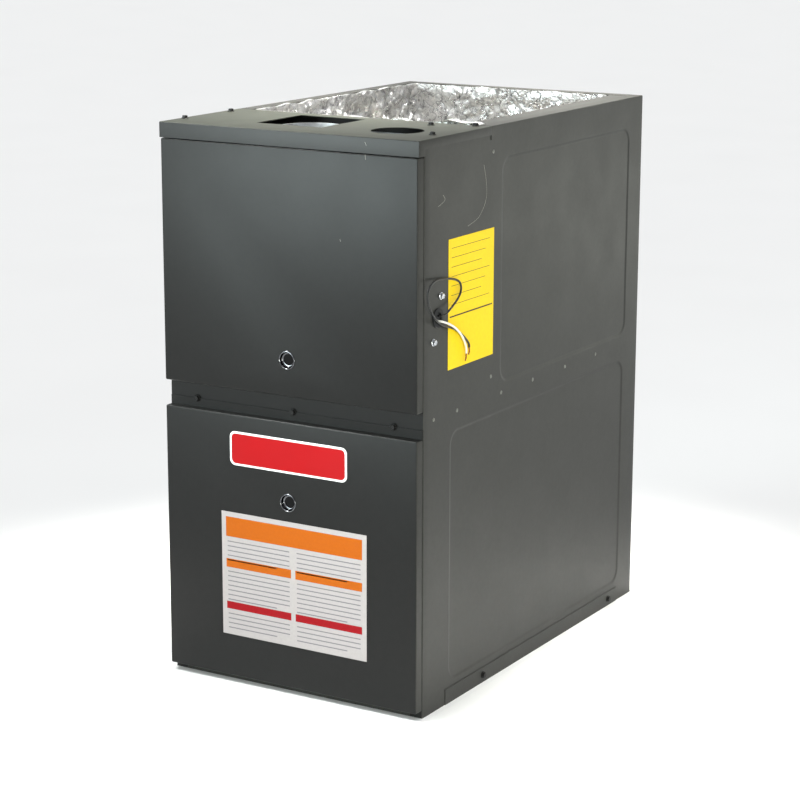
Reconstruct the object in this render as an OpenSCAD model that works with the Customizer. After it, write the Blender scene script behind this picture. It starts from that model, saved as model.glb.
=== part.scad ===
// Forced air gas furnace, upflow, for a 17.5 inch cabinet: a sheet steel cabinet with two
// lift-off doors, tubular heat exchanger, inshot burners, draft inducer and blower.
// Millimetres. Origin at the middle of the base, +X right, +Y to the back, +Z up.

/* [Cabinet] */
// Overall width, over the top plate's side flanges
cab_w = 444.5; // [430:0.5:540]
// Overall depth, from the door faces to the back panel
cab_d = 720.7; // [700:0.1:760]
// Height of the top plate's upper face
cab_h = 848; // [838:1:900]
// Thickness of the cabinet's sheet steel
sheet = 1; // [0.8:0.1:1.2]
// Width of the returns that the doors close against
front_return = 20; // [16:1:26]
// Depth of the side panels' pressed-in fields
emboss_h = 1; // [0.6:0.1:1.2]
// Corner radius of the pressed fields
emboss_r = 22; // [12:1:30]
// Height of the base pan's side strips
base_strip_h = 24; // [18:1:30]
// Height of the base pan's front lip
base_lip_h = 10; // [6:1:10]

/* [Top plate] */
// Depth of the top plate over the burner compartment
top_depth = 206.85; // [200:0.05:215]
// Height of its front flange
top_front_h = 23; // [18:1:28]
// Height of its side flanges
top_side_h = 13; // [8:1:16]
// Width of the vent cut-out
vent_cut_w = 113; // [106:1:120]
// Depth of the vent cut-out
vent_cut_d = 118; // [106:1:124]
// Vent centre from the cabinet's middle
vent_x = -35; // [-40:1:-30]
// Vent centre behind the door faces
vent_setback = 122; // [118:1:128]
// Radius of the combustion air hole
air_hole_r = 38.5; // [30:0.5:42]
// Combustion air hole from the cabinet's middle
air_hole_x = 134; // [125:1:140]
// Combustion air hole behind the door faces
air_hole_setback = 88; // [80:1:96]
// Width of the supply opening's rim
duct_rim_w = 19; // [14:1:24]
// Depth of the rim's turned-down lip
duct_lip_h = 9; // [5:1:12]
// Width of the duct strip under the right rim
duct_strip_w = 50; // [36:1:56]

/* [Doors] */
// How far the doors stand out of the cabinet's front
door_depth = 16; // [14:0.5:20]
// Gap between each door edge and the cabinet's side
door_side_gap = 1.2; // [0.2:0.05:1.6]
// Gap between the upper door and the top plate's flange
door_top_gap = 1; // [0.6:0.1:2]
// Lower edge of the upper door over the deck
upper_door_rise = 20; // [12:1:24]
// Upper edge of the lower door under the deck
lower_door_drop = 19; // [16:1:24]
// Lower edge of the lower door
lower_door_z = 11; // [10:1:14]
// Height of the lower door's screw lip
lip_h = 13; // [10:1:15]
// Distance between the lower door's screws
door_screw_pitch = 172; // [120:1:185]
// Radius of the sight glass
sight_lens_r = 8.5; // [7:0.5:9]
// Outer radius of the sight glass ring
sight_ring_r = 14; // [13.5:0.5:18]
// Upper sight glass over the lower edge of its door
upper_sight_rise = 54.4; // [45:0.1:65]
// Height of the lower sight glass
lower_sight_z = 299; // [290:1:310]

/* [Labels] */
// Width of the bare badge plate
badge_w = 205.5; // [150:0.5:240]
// Height of the bare badge plate
badge_h = 52; // [40:1:60]
// Centre of the badge plate under the upper edge of its door
badge_drop = 51; // [46:1:61]
// Corner radius of the badge plate
badge_r = 9; // [4:1:14]
// Width of the notice sheet
notice_w = 256; // [200:1:280]
// Height of the notice sheet
notice_h = 193; // [150:1:200]
// Middle of the notice sheet from the cabinet's middle
notice_x = 8; // [0:1:12]
// Lower edge of the notice sheet
notice_z = 77; // [60:1:85]
// Width of the side card
card_w = 134; // [100:1:150]
// Height of the side card
card_h = 190; // [150:1:200]

/* [Burner compartment] */
// Height of the blower deck's upper face
deck_z = 440; // [436:1:446]
// Height of the burners and the tubes' first pass
burner_z = 510; // [506:1:516]
// Outer burners from the cabinet's sides, with four burners in the width
burner_side = 102.25; // [99:0.25:114]
// Number of burners and heat exchanger tubes
burner_count = 4; // [2:1:4]
// Outer radius of the heat exchanger tubes
hx_r = 19; // [16:0.5:20]
// Wall of the heat exchanger tubes
hx_wall = 1.2; // [0.9:0.1:1.6]
// Rise from one tube pass to the next
hx_rise = 60; // [56:1:62]
// Outer radius of the flue collar
flue_r = 50.8; // [44:0.1:51]
// Wall of the flue collar
flue_wall = 0.8; // [0.6:0.1:1.2]
// Radius of the inducer's wheel
inducer_wheel_r = 68; // [55:1:72]
// Depth of the inducer's housing
inducer_depth = 70; // [60:1:74]
// Radius of the inducer's shaft
inducer_shaft_r = 4; // [3:0.5:5]
// Outer radius of the gas manifold pipe
manifold_r = 10.7; // [9:0.1:12]
// Radius of the gas inlet's thread
gas_inlet_r = 10.5; // [8:0.5:12]
// Radius of the gas pipe's hole in the left side
gas_hole_r = 22; // [20:1:26]
// Radius of the power wires' hole in the right side
wire_hole_r = 11; // [9:0.5:12]

/* [Blower compartment] */
// Radius of the blower wheel
wheel_r = 127; // [115:1:130]
// Width of the blower wheel
wheel_w = 203; // [180:1:210]
// Number of blades on the blower wheel
blade_count = 36; // [24:1:44]
// Height of the blower's shaft
blower_z = 215; // [210:1:222]
// Radius of the blower's shaft
blower_shaft_r = 6.35; // [5:0.05:8]
// Radius of the blower motor
motor_r = 70; // [60:1:75]
// Length of the blower motor
motor_len = 120; // [100:1:130]
// Radius of the blower's inlets
inlet_r = 98; // [88:1:100]
// Width of the control board
board_w = 150; // [110:1:160]
// Height of the control board
board_h = 120; // [90:1:128]

/* [Fits] */
// Radial clearance of each turning or sliding shaft
run_fit = 0.05; // [0.02:0.01:0.09]
// Gap between a door and the frame that it closes on
seat_gap = 0.3; // [0.2:0.05:0.5]
// Radial clearance of a screw or a rod in its hole
screw_fit = 0.3; // [0.2:0.05:0.5]
// Travel of the door switch's plunger
plunger_travel = 5; // [3:0.5:6]

/* [Hidden] */

$fn = 48;
eps = 0.01;

// Cabinet planes
front_y = -cab_d / 2;
back_y = cab_d / 2;
frame_y = front_y + door_depth;
wall_x = cab_w / 2 - sheet;
in_x = wall_x - sheet;
plate_z = cab_h - sheet;
top_rear_y = front_y + top_depth;
top_rear_flange_h = 20;
vest_y = top_rear_y;
vest_flange_d = 15;
deck_flange_h = 15;
deck_under_z = deck_z - sheet;
upper_door_z = deck_z + upper_door_rise;
lower_door_top_z = deck_z - lower_door_drop;
rail_top_z = upper_door_z + 6;
rail_bottom_z = deck_under_z - 43;
rail_flange_d = 20;
strip_in_x = in_x - duct_strip_w;
foil_t = 12;
foil_y = vest_y + sheet + vest_flange_d;
foil_top_z = cab_h - duct_lip_h - 1;
deck_flange_end_y = foil_y - 1;

// Pressed fields on the side panels: front and back edges, lower and upper edges
upper_field_y = [vest_y + 36.85, back_y - 49];
upper_field_z = [deck_z + 20.5, cab_h - 50];
lower_field_y = [frame_y + 78, back_y - 54];
lower_field_z = [base_strip_h + 11.5, deck_z - 24.5];

// Screws and rivets
screw_r = 2.1;
screw_head_r = 5.5;
washer_t = 0.9;
hex_r = 4.4;
hex_h = 3.4;
rivet_r = 3;
rivet_h = 0.8;
rivet_ys = [frame_y + 28, frame_y + 96, vest_y + 39.5, vest_y + 141, vest_y + 250, vest_y + 358];
rivet_z = deck_z + 4.5;
rivet_shank_r = 1.5;
rivet_hole_r = rivet_shank_r + 0.1;
vest_rivet_y = vest_y + 6.5;
vest_rivet_zs = [deck_z + 35.5, cab_h - 37.5];
top_screw_inset = 20;
top_screws = [
    [-wall_x + 8, front_y + 53], [-wall_x + 13, top_rear_y - 42],
    [wall_x - top_screw_inset, front_y + 71], [air_hole_x + 7, top_rear_y - 36],
    [wall_x - top_screw_inset, top_rear_y - 11]
];
base_screw_ys = [frame_y + 181, back_y - 90];
base_strip_y = [frame_y + 66, back_y - 58];

// Doors
door_x = wall_x - door_side_gap;
door_back_y = frame_y - seat_gap;
upper_door_top_z = cab_h - top_front_h - door_top_gap;
lip_top_z = lower_door_top_z + lip_h;
upper_sight_z = upper_door_z + upper_sight_rise;
badge_z = lower_door_top_z - badge_drop;
sight_hole_r = sight_ring_r - 2;
sight_cup_d = 9;
// depth of the dish in front of the glass, and the flange that the glass lies against
sight_dish_d = 4.4;
sight_flange_d = sight_dish_d + 0.8;
sight_glass_r = sight_lens_r + 1.7;
ring_proud = 1.6;

// Heat exchanger: the pitch is that of four burners, also where there are fewer
burner_pitch = (cab_w - 2 * burner_side) / 3;
hx_xs = [for (i = [0:burner_count - 1]) (i - (burner_count - 1) / 2) * burner_pitch];
hx_bend_r = hx_rise / 2;
hx_passes = 4;
hx_rear_y = back_y - sheet - foil_t - 45 - hx_bend_r - 20;
hx_front_y = foil_y + 78;
hx_out_z = burner_z + (hx_passes - 1) * hx_rise;
hx_rim_r = hx_r + 3;
hx_rim_t = 1.2;
baffle_y = (hx_front_y + hx_rear_y) / 2;

// Inducer, flue and collector box
collector_half_w = (burner_count - 1) / 2 * burner_pitch + hx_rim_r + 5;
collector_half_h = hx_rim_r + 16;
collector_d = 36.5;
inducer_z = hx_out_z;
inducer_back_y = vest_y - collector_d;
inducer_front_y = inducer_back_y - inducer_depth;
inducer_wall = 1.5;
volute_r0 = inducer_wheel_r + 14;
volute_r1 = inducer_wheel_r + 47;
inducer_x = vent_x - flue_r + 0.8 + volute_r1;
inducer_inlet_r = 32;
vent_y = front_y + vent_setback;
collar_top_z = cab_h - 8;
collar_h = 42;
flue_box_half = flue_r + 1.2;
flue_box_h = 17;
flue_box_z = collar_top_z - collar_h - sheet - flue_box_h;
inducer_motor_r = 42;
inducer_motor_len = 52;
inducer_motor_back_y = inducer_front_y - 4;
inducer_motor_front_y = inducer_motor_back_y - inducer_motor_len;
fan_r = 36;

// Burners, manifold and gas valve
burner_exit_y = vest_y - 28.5;
burner_tube_r = 12.5;
burner_bell_r = 17;
burner_in_y = burner_exit_y - 118;
manifold_y = burner_in_y - 18;
orifice_len = 8;
bracket_x = (burner_count - 1) / 2 * burner_pitch + 30;
bracket_low_z = burner_z - hx_rim_r - 4;
bracket_high_z = burner_z + 34;
bracket_front_y = manifold_y - manifold_r - 3;
valve_size = [64, 74, 60];
valve_x = -in_x + 23.25;
valve_z = burner_z + 42;
valve_y = manifold_y - 18;
gas_y = valve_y + 36;
gas_z = valve_z + 38;
gas_boss_len = 15;
gas_thread_len = 25;
outlet_x = valve_x + valve_size.x / 2;
knob_r = 11;
knob_stem_r = 3;
knob_x = valve_x + 46;
knob_z = valve_z + 44;

// Controls in the burner compartment
jbox_y = [frame_y + 9.35, frame_y + 74.35];
jbox_z = [548, 645];
jbox_d = 50;
wire_y = frame_y + 37.35;
wire_z = 591;
silver_screw_spots = [[wire_y + 10, wire_z + 30.5], [wire_y - 11, wire_z - 33.5]];
grommet_flange_t = 2;
grommet_flange_r = wire_hole_r + 3;
switch_x = in_x - 36;
switch_z = hx_out_z + 10;
switch_r = 29;
switch_y = vest_y - 6;
switch_d = 30;
hose_r = 4;
rollout_x = -burner_pitch;
rollout_y = burner_exit_y - 18;
rollout_h = 12;
button_stem_r = 2.5;
button_lift = 2.3;

// Blower
blower_y = vest_y + 183.5;
scroll_gap = 13;
scroll_r0 = wheel_r + scroll_gap;
scroll_r1 = wheel_r + 68;
scroll_a0 = 65;
scroll_wall = 1.2;
housing_x = wheel_w / 2 + 7.5;
rail_flange_z = deck_under_z - 9;
rail_lip_in_x = housing_x + 9;
rail_out_x = housing_x + 24;
slide_gap = 2.5;
slide_low_z = rail_flange_z + 1.3;
slide_top_z = slide_low_z + scroll_wall;
slide_front_y = blower_y - 100;
discharge_y = [blower_y + scroll_r0 * cos(scroll_a0), blower_y + scroll_r1];
motor_x = 16;
mount_x = housing_x + 9;
mount_r = inlet_r + 12;

// Controls in the blower compartment
tray_y = frame_y + 79;
tray_x = [-70, board_w - 40];
tray_low_z = lower_sight_z - 54;
board_x = tray_x[0] + 15;
board_z = tray_low_z + 10;
board_gap = 5.4;
board_t = 1.6;
trans_x = [rail_out_x + 12, rail_out_x + 56];
trans_y = [tray_y - 51, tray_y + 5];
door_switch_x = 150;
door_switch_z = rail_bottom_z + 14;
plunger_r = 3;
plunger_out = 5.65;
plunger_back_y = frame_y + sheet + 9 + plunger_travel;

// Routes, as points chosen by hand. The outside wires hang from their bushing on the side.
wire_r = 1.6;
copper_r = 1;
black_route = [
    [221.25, -305, 594], [223.5, -305, 594], [225.8, -305, 594], [229, -301.8, 595.6],
    [230.4, -295, 598], [230.2, -285.5, 601.6], [229, -273.3, 606.3], [228, -261.5, 611.6],
    [227.4, -253, 618], [227, -249.5, 626], [226.8, -253, 634.5], [226.6, -265, 640.5],
    [226.6, -284.3, 644.7], [227.4, -304, 647.4], [229, -323, 648.6], [231, -339.5, 646.4],
    [232.5, -350.5, 640.5], [233, -355, 632], [232.5, -352.5, 621.5], [231.5, -345, 610.5],
    [230, -333.5, 599.2], [228, -319, 588.8], [226.4, -301.4, 580.4], [225.6, -282.7, 574.5],
    [225.2, -266, 568.8], [225, -249.2, 560.6], [225, -234.9, 551], [225, -224.7, 542.6],
    [225, -221.1, 537.9], [225, -220.75, 535.75], [225, -220.4, 533.6]
];
white_route = [
    [221.25, -309.5, 587.5], [223.5, -309.5, 587.5], [225.8, -309.5, 587.5],
    [229.6, -307.6, 586.8], [231.4, -301.5, 584.6], [231.4, -292, 581.2], [230.8, -280, 576],
    [230.2, -267.5, 569.3], [229.6, -256, 561.2], [229, -246, 552.3], [228.4, -238.8, 543],
    [227.8, -234.4, 535], [227.2, -232.9, 530.5], [227.1, -232.8, 528.8], [227, -232.7, 527.1]
];
black_bare_route = [
    [225, -220.4, 533.6], [225, -220.05, 531.45], [225, -219.7, 529.3], [225, -220.1, 526.3],
    [225, -222.4, 523.3]
];
white_bare_route = [
    [227, -232.7, 527.1], [226.9, -232.6, 525.4], [226.8, -232.5, 523.7], [226.6, -232.5, 520.1],
    [226.2, -233.9, 516.1]
];

// Routes inside the cabinet run between named spots
barb_r = 3.2;
hose_a = [switch_x, switch_y - switch_d - 8.5, switch_z];
hose_b = [inducer_x + 62, inducer_front_y - 10, inducer_z + 8];
hose_route = [
    hose_a, hose_a + [0, -5, 0], hose_a + [0, -10, 0], hose_a + [-2, -30, 3],
    hose_a + [-11, -50, 9], hose_a + [-28, -70, 13], hose_b + [42, -14, 15], hose_b + [20, -18, 9],
    hose_b + [5, -17, 2], hose_b + [0, -10, 0], hose_b + [0, -5, 0], hose_b
];
row_front_y = tray_y - sheet - board_gap - board_t - 8;
harness_hole = [-110, frame_y + 32];
harness_a = [board_x + 15, row_front_y, board_z + board_h - 11];
harness_b = [valve_x + valve_size.x, valve_y + 22, valve_z + 28];
harness_route = [
    harness_a, harness_a + [0, -5, 0], harness_a + [0, -10, 0], harness_a + [-14, -19, 8],
    [harness_hole.x + 32, harness_hole.y + 2, deck_z - 44],
    [harness_hole.x + 5, harness_hole.y + 1, deck_z - 18],
    [harness_hole.x, harness_hole.y, deck_z],
    [harness_hole.x, harness_hole.y - 2, deck_z + 20],
    [harness_hole.x, manifold_y - 9, burner_z - 28],
    [harness_hole.x, manifold_y - manifold_r - 10, burner_z - 5],
    [harness_hole.x, manifold_y - manifold_r - 10, burner_z + 20],
    harness_b + [21, -14, -26], harness_b + [14, -2, -4], harness_b + [8, 0, 0],
    harness_b + [4, 0, 0], harness_b
];
lead_hole = [in_x - 14, wire_y];
lead_b = [trans_x[1], trans_y[0] + 18, deck_under_z - 31];
power_lead_route = [
    [lead_hole.x, lead_hole.y, jbox_z[0]], [lead_hole.x, lead_hole.y, jbox_z[0] - 8],
    [lead_hole.x, lead_hole.y, jbox_z[0] - 16], [lead_hole.x, lead_hole.y, burner_z - 20],
    [lead_hole.x, lead_hole.y, deck_z], [lead_hole.x, lead_hole.y, deck_z - 16],
    lead_b + [13, -2, 10], lead_b + [8, 0, 0], lead_b + [4, 0, 0], lead_b
];
motor_lead_a = [board_x + board_w - 10, tray_y - sheet - board_gap - board_t, board_z + 7];
motor_lead_b = [motor_x + motor_len, blower_y, blower_z];
motor_lead_route = [
    motor_lead_a, motor_lead_a + [0, -6, 0], motor_lead_a + [0, -12, 0], motor_lead_a + [20, -22, -12],
    motor_lead_a + [52, -8, -26], [motor_lead_b.x + 32, tray_y + 60, blower_z + 6],
    [motor_lead_b.x + 38, blower_y - 140, blower_z], [motor_lead_b.x + 38, blower_y - 60, blower_z],
    motor_lead_b + [30, -16, 0], motor_lead_b + [16, 0, 0], motor_lead_b + [8, 0, 0], motor_lead_b
];

// ---- helpers ----
// The span between a and b on side s: 1 is the right side and -1 the left
function side_span(s, a, b) = [min(s * a, s * b), max(s * a, s * b)];
module block(x, y, z)
    translate([x[0], y[0], z[0]]) cube([x[1] - x[0], y[1] - y[0], z[1] - z[0]]);
module rod_x(x, y, z, r) translate([x[0], y, z]) rotate([0, 90, 0]) cylinder(h = x[1] - x[0], r = r);
module rod_y(x, y, z, r) translate([x, y[1], z]) rotate([90, 0, 0]) cylinder(h = y[1] - y[0], r = r);
module rod_z(x, y, z, r) translate([x, y, z[0]]) cylinder(h = z[1] - z[0], r = r);

// A rectangle with round corners, drawn with true arcs
module rounded_rect(w, h, r) {
    translate([-w / 2 + r, -h / 2]) square([w - 2 * r, h]);
    translate([-w / 2, -h / 2 + r]) square([w, h - 2 * r]);
    for (x = [-1, 1], y = [-1, 1]) translate([x * (w / 2 - r), y * (h / 2 - r)]) circle(r);
}

// Shapes drawn flat and stood up: face_x runs along X, face_y from back to front
module face_x(x) translate([x[0], 0, 0]) rotate([90, 0, 90]) linear_extrude(x[1] - x[0]) children();
module face_y(y) translate([0, y[1], 0]) rotate([90, 0, 0]) linear_extrude(y[1] - y[0]) children();

// A field with round corners on a side panel, from its edges
module side_field(x, y, z, inset = 0)
    face_x(x)
    translate([(y[0] + y[1]) / 2, (z[0] + z[1]) / 2])
    rounded_rect(y[1] - y[0] - 2 * inset, z[1] - z[0] - 2 * inset, emboss_r - inset);

// A hex washer-head screw along +Z: its head stands on z = 0, its shank goes down
module hex_screw(shank_l) {
    cylinder(h = washer_t, r = screw_head_r, $fn = 32);
    translate([0, 0, washer_t]) cylinder(h = hex_h, r = hex_r, $fn = 6);
    translate([0, 0, -shank_l]) cylinder(h = shank_l + eps, r = screw_r, $fn = 32);
}

// Points of a scroll whose radius grows evenly with the angle
function scroll(r0, r1, a0, a1, n) =
    [for (i = [0:n]) let (a = a0 + (a1 - a0) * i / n) (r0 + (r1 - r0) * i / n) * [cos(a), sin(a)]];

// A smooth curve through hand-chosen points, and a round tube along it
function unit(v) = v / norm(v);
function curve_point(a, b, c, d, t) =
    0.5 * (2 * b + (c - a) * t + (2 * a - 5 * b + 4 * c - d) * t * t + (3 * b - a - 3 * c + d) * t * t * t);
function smooth(p, steps) = concat(
    [for (i = [0:len(p) - 2], k = [0:steps - 1])
        curve_point(p[max(i - 1, 0)], p[i], p[i + 1], p[min(i + 2, len(p) - 1)], k / steps)],
    [p[len(p) - 1]]);
function heading(p, i) = unit(p[min(i + 1, len(p) - 1)] - p[max(i - 1, 0)]);
function across(t) = unit(cross(t, abs(t.z) < 0.9 ? [0, 0, 1] : [1, 0, 0]));
function carried(u, t) = unit(u - (u * t) * t);
function side_vectors(p) =
    [for (i = 0, u = across(heading(p, 0)); i < len(p);
        i = i + 1, u = carried(u, heading(p, min(i, len(p) - 1)))) u];
module tube_along(route, r, steps, sides = 8) {
    p = smooth(route, steps);
    u = side_vectors(p);
    n = len(p);
    points = [for (i = [0:n - 1], k = [0:sides - 1])
        let (a = 360 * k / sides, v = cross(heading(p, i), u[i]))
        p[i] + r * (cos(a) * u[i] + sin(a) * v)];
    walls = [for (i = [0:n - 2], k = [0:sides - 1])
        let (a = i * sides + k, b = i * sides + (k + 1) % sides)
        each [[a, a + sides, b + sides], [a, b + sides, b]]];
    start_cap = [for (k = [1:sides - 2]) [0, k, k + 1]];
    end_cap = [for (k = [1:sides - 2]) (n - 1) * sides * [1, 1, 1] + [0, k + 1, k]];
    polyhedron(points, concat(walls, start_cap, end_cap));
}

// ---- cabinet ----
module cabinet_wrap() color("#54564f")
difference() {
    union() {
        for (s = [-1, 1]) {
            block(side_span(s, wall_x, in_x),
                [frame_y, back_y], [sheet, plate_z]);
            block(side_span(s, in_x - front_return, in_x),
                [frame_y, frame_y + sheet], [sheet, plate_z]);
            side_field(side_span(s, in_x - emboss_h, in_x + eps), upper_field_y, upper_field_z);
            side_field(side_span(s, in_x - emboss_h, in_x + eps), lower_field_y, lower_field_z);
        }
        block([-in_x, in_x], [back_y - sheet, back_y], [sheet, plate_z]);
        // rim of the supply opening, turned in at the top
        difference() {
            block([-wall_x, wall_x], [top_rear_y, back_y], [plate_z, cab_h]);
            block([-wall_x + duct_rim_w, wall_x - duct_rim_w],
                [top_rear_y - 1, back_y - duct_rim_w], [plate_z - 1, cab_h + 1]);
        }
        block([-wall_x + duct_rim_w - sheet, -wall_x + duct_rim_w],
            [top_rear_y + sheet, back_y - duct_rim_w + sheet], [cab_h - duct_lip_h, cab_h]);
        block([-wall_x + duct_rim_w - sheet, wall_x - duct_rim_w],
            [back_y - duct_rim_w, back_y - duct_rim_w + sheet], [cab_h - duct_lip_h, cab_h]);
        // stepped duct strip under the right-hand rim, with a lip at its inner edge
        block([strip_in_x, in_x - sheet], [vest_y + sheet, back_y - duct_rim_w],
            [plate_z - sheet, plate_z]);
        block([strip_in_x, strip_in_x + sheet], [vest_y + sheet + foil_t, back_y - duct_rim_w],
            [cab_h - duct_lip_h, plate_z]);
    }
    for (s = [-1, 1]) {
        side_field(side_span(s, wall_x - emboss_h, wall_x + 1),
            upper_field_y, upper_field_z, sheet);
        side_field(side_span(s, wall_x - emboss_h, wall_x + 1),
            lower_field_y, lower_field_z, sheet);
        for (y = rivet_ys) rod_x(side_span(s, in_x - 1, wall_x + 1), y, rivet_z, rivet_hole_r);
        for (z = vest_rivet_zs)
            rod_x(side_span(s, in_x - 1, wall_x + 1), vest_rivet_y, z, rivet_hole_r);
        for (y = base_screw_ys)
            rod_x(side_span(s, in_x - 1, wall_x + 1), y, base_strip_h / 2, screw_r + screw_fit);
    }
    rod_x([in_x - 1, wall_x + 1], wire_y, wire_z, wire_hole_r);
    for (p = silver_screw_spots) rod_x([in_x - 1, wall_x + 1], p[0], p[1], screw_r + screw_fit);
    rod_x([-wall_x - 1, -in_x + 1], gas_y, gas_z, gas_hole_r);
}

module base_pan() color("#3e403d")
difference() {
    union() {
        block([-wall_x, wall_x], [frame_y, back_y], [0, sheet]);
        for (s = [-1, 1])
            block(side_span(s, wall_x, wall_x + sheet),
                base_strip_y, [0, base_strip_h]);
        block([-in_x + front_return + 1, in_x - front_return - 1],
            [frame_y, frame_y + sheet], [0, base_lip_h]);
    }
    for (s = [-1, 1], y = base_screw_ys)
        rod_x(side_span(s, wall_x - 1, wall_x + 3),
            y, base_strip_h / 2, screw_r + screw_fit);
}

module top_plate() color("#7c7e74")
difference() {
    union() {
        block([-wall_x - sheet, wall_x + sheet], [front_y, top_rear_y], [plate_z, cab_h]);
        block([-wall_x - sheet, wall_x + sheet], [front_y, front_y + sheet], [cab_h - top_front_h, cab_h]);
        for (s = [-1, 1])
            block(side_span(s, wall_x, wall_x + sheet),
                [front_y, top_rear_y], [cab_h - top_side_h, cab_h]);
        block([-in_x + 1, in_x - 1], [top_rear_y - sheet, top_rear_y], [cab_h - top_rear_flange_h, cab_h]);
    }
    block([vent_x - vent_cut_w / 2, vent_x + vent_cut_w / 2],
        [vent_y - vent_cut_d / 2, vent_y + vent_cut_d / 2], [plate_z - 1, cab_h + 1]);
    rod_z(air_hole_x, front_y + air_hole_setback, [plate_z - 1, cab_h + 1], air_hole_r);
    for (p = top_screws) rod_z(p[0], p[1], [plate_z - 1, cab_h + 1], screw_r + screw_fit);
}

module front_rail() color("#30312f")
difference() {
    union() {
        block([-in_x + front_return, in_x - front_return], [frame_y, frame_y + sheet],
            [rail_bottom_z, rail_top_z]);
        for (z = [rail_bottom_z, rail_top_z - sheet])
            block([-in_x + front_return, in_x - front_return], [frame_y, frame_y + rail_flange_d],
                [z, z + sheet]);
    }
    for (i = [-1, 0, 1])
        rod_y(i * door_screw_pitch, [frame_y - 1, frame_y + sheet + 1], lip_top_z, screw_r + screw_fit);
    rod_y(door_switch_x, [frame_y - 1, frame_y + sheet + 1], door_switch_z, plunger_r + screw_fit);
}

module blower_deck() color("#9a9c98")
difference() {
    union() {
        block([-in_x, in_x], [frame_y + sheet, back_y - sheet], [deck_under_z, deck_z]);
        for (s = [-1, 1])
            block(side_span(s, in_x, in_x - sheet),
                [frame_y + 22, deck_flange_end_y], [deck_z - eps, deck_z + deck_flange_h]);
    }
    block([-housing_x + scroll_wall, housing_x - scroll_wall],
        [discharge_y[0] + scroll_wall, discharge_y[1] - scroll_wall], [deck_under_z - 1, deck_z + 1]);
    for (p = [harness_hole, lead_hole]) rod_z(p.x, p.y, [deck_under_z - 1, deck_z + 1], 6);
    for (s = [-1, 1], y = rivet_ys)
        if (y < deck_flange_end_y) rod_x(side_span(s, in_x - 3, in_x + 1),
            y, rivet_z, rivet_hole_r);
}

module vestibule_panel() color("#a3a5a2")
difference() {
    union() {
        block([-in_x, in_x], [vest_y, vest_y + sheet], [deck_z, plate_z]);
        for (s = [-1, 1])
            block(side_span(s, in_x, in_x - sheet),
                [vest_y, foil_y], [deck_z + deck_flange_h + 1, plate_z]);
    }
    for (x = hx_xs, z = [burner_z, hx_out_z])
        rod_y(x, [vest_y - 1, vest_y + sheet + 1], z, hx_r + screw_fit);
    for (s = [-1, 1], z = vest_rivet_zs)
        rod_x(side_span(s, in_x - 3, in_x + 1),
            vest_rivet_y, z, rivet_hole_r);
    // room for the deck's turned-up flanges
    for (s = [-1, 1])
        block(side_span(s, in_x - sheet - seat_gap, in_x + 1),
            [vest_y - 1, vest_y + sheet + 1], [deck_z - 1, deck_z + deck_flange_h + 1]);
}

module foil_blanket() color("#d8d9da")
difference() {
    block([-in_x, in_x], [foil_y, back_y - sheet], [deck_z, foil_top_z]);
    block([-in_x + foil_t, in_x - foil_t], [foil_y - 1, back_y - sheet - foil_t],
        [deck_z - 1, foil_top_z + 1]);
    // room for the pressed-in fields
    for (s = [-1, 1])
        side_field(side_span(s, in_x - emboss_h, in_x + 1), upper_field_y, upper_field_z);
}

module foil_blanket_front() color("#d8d9da")
    block([-wall_x + duct_rim_w + seat_gap, wall_x - duct_rim_w], [vest_y + sheet, vest_y + sheet + foil_t],
        [hx_out_z + hx_r + 20, plate_z - sheet]);

// ---- heat exchanger ----
module hx_ring() difference() {
    circle(hx_r);
    circle(hx_r - hx_wall);
}
module hx_straight(y, z)
    translate([0, y[1], z]) rotate([90, 0, 0]) linear_extrude(y[1] - y[0]) hx_ring();
module hx_bend(y, z, s)
    translate([0, y, z + hx_bend_r]) rotate([0, -90, 0]) rotate([0, 0, s > 0 ? 0 : 180])
    rotate_extrude(angle = 180) translate([hx_bend_r, 0]) hx_ring();

module heat_exchanger_tubes() color("#8f8d88")
for (x = hx_xs) translate([x, 0, 0]) {
    hx_straight([vest_y - hx_rim_t, hx_rear_y], burner_z);
    hx_bend(hx_rear_y, burner_z, 1);
    hx_straight([hx_front_y, hx_rear_y], burner_z + hx_rise);
    hx_bend(hx_front_y, burner_z + hx_rise, -1);
    hx_straight([hx_front_y, hx_rear_y], burner_z + 2 * hx_rise);
    hx_bend(hx_rear_y, burner_z + 2 * hx_rise, 1);
    hx_straight([vest_y - hx_rim_t, hx_rear_y], hx_out_z);
    for (z = [burner_z, hx_out_z])
        translate([0, vest_y, z]) rotate([90, 0, 0]) linear_extrude(hx_rim_t)
        difference() {
            circle(hx_rim_r);
            circle(hx_r - hx_wall);
        }
}

module tube_baffle() color("#8f8d88")
difference() {
    block([hx_xs[0] - hx_r - 10, -hx_xs[0] + hx_r + 10], [baffle_y, baffle_y + sheet],
        [deck_z, hx_out_z + hx_r + 10]);
    for (x = hx_xs, i = [0:hx_passes - 1])
        rod_y(x, [baffle_y - 1, baffle_y + sheet + 1], burner_z + i * hx_rise, hx_r + screw_fit);
}

module collector_box() color("#9b9d9b")
difference() {
    block([-collector_half_w, collector_half_w], [inducer_back_y, vest_y],
        [hx_out_z - collector_half_h, hx_out_z + collector_half_h]);
    block([-collector_half_w + sheet, collector_half_w - sheet], [inducer_back_y + sheet, vest_y + 1],
        [hx_out_z - collector_half_h + sheet, hx_out_z + collector_half_h - sheet]);
    rod_y(inducer_x, [inducer_back_y - 1, inducer_back_y + sheet + 1], inducer_z, inducer_inlet_r);
}

// ---- burners and gas train ----
module burner() rotate([90, 0, 0]) rotate_extrude()
polygon([
    [burner_tube_r - 1, 18], [burner_bell_r - 1, 12], [burner_bell_r - 1, 0], [burner_bell_r, 0],
    [burner_bell_r, 12.5], [burner_tube_r, 18.5], [burner_tube_r, 108], [burner_bell_r, 118],
    [burner_bell_r - 1, 118], [burner_tube_r - 1, 108.5]
]);

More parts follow.
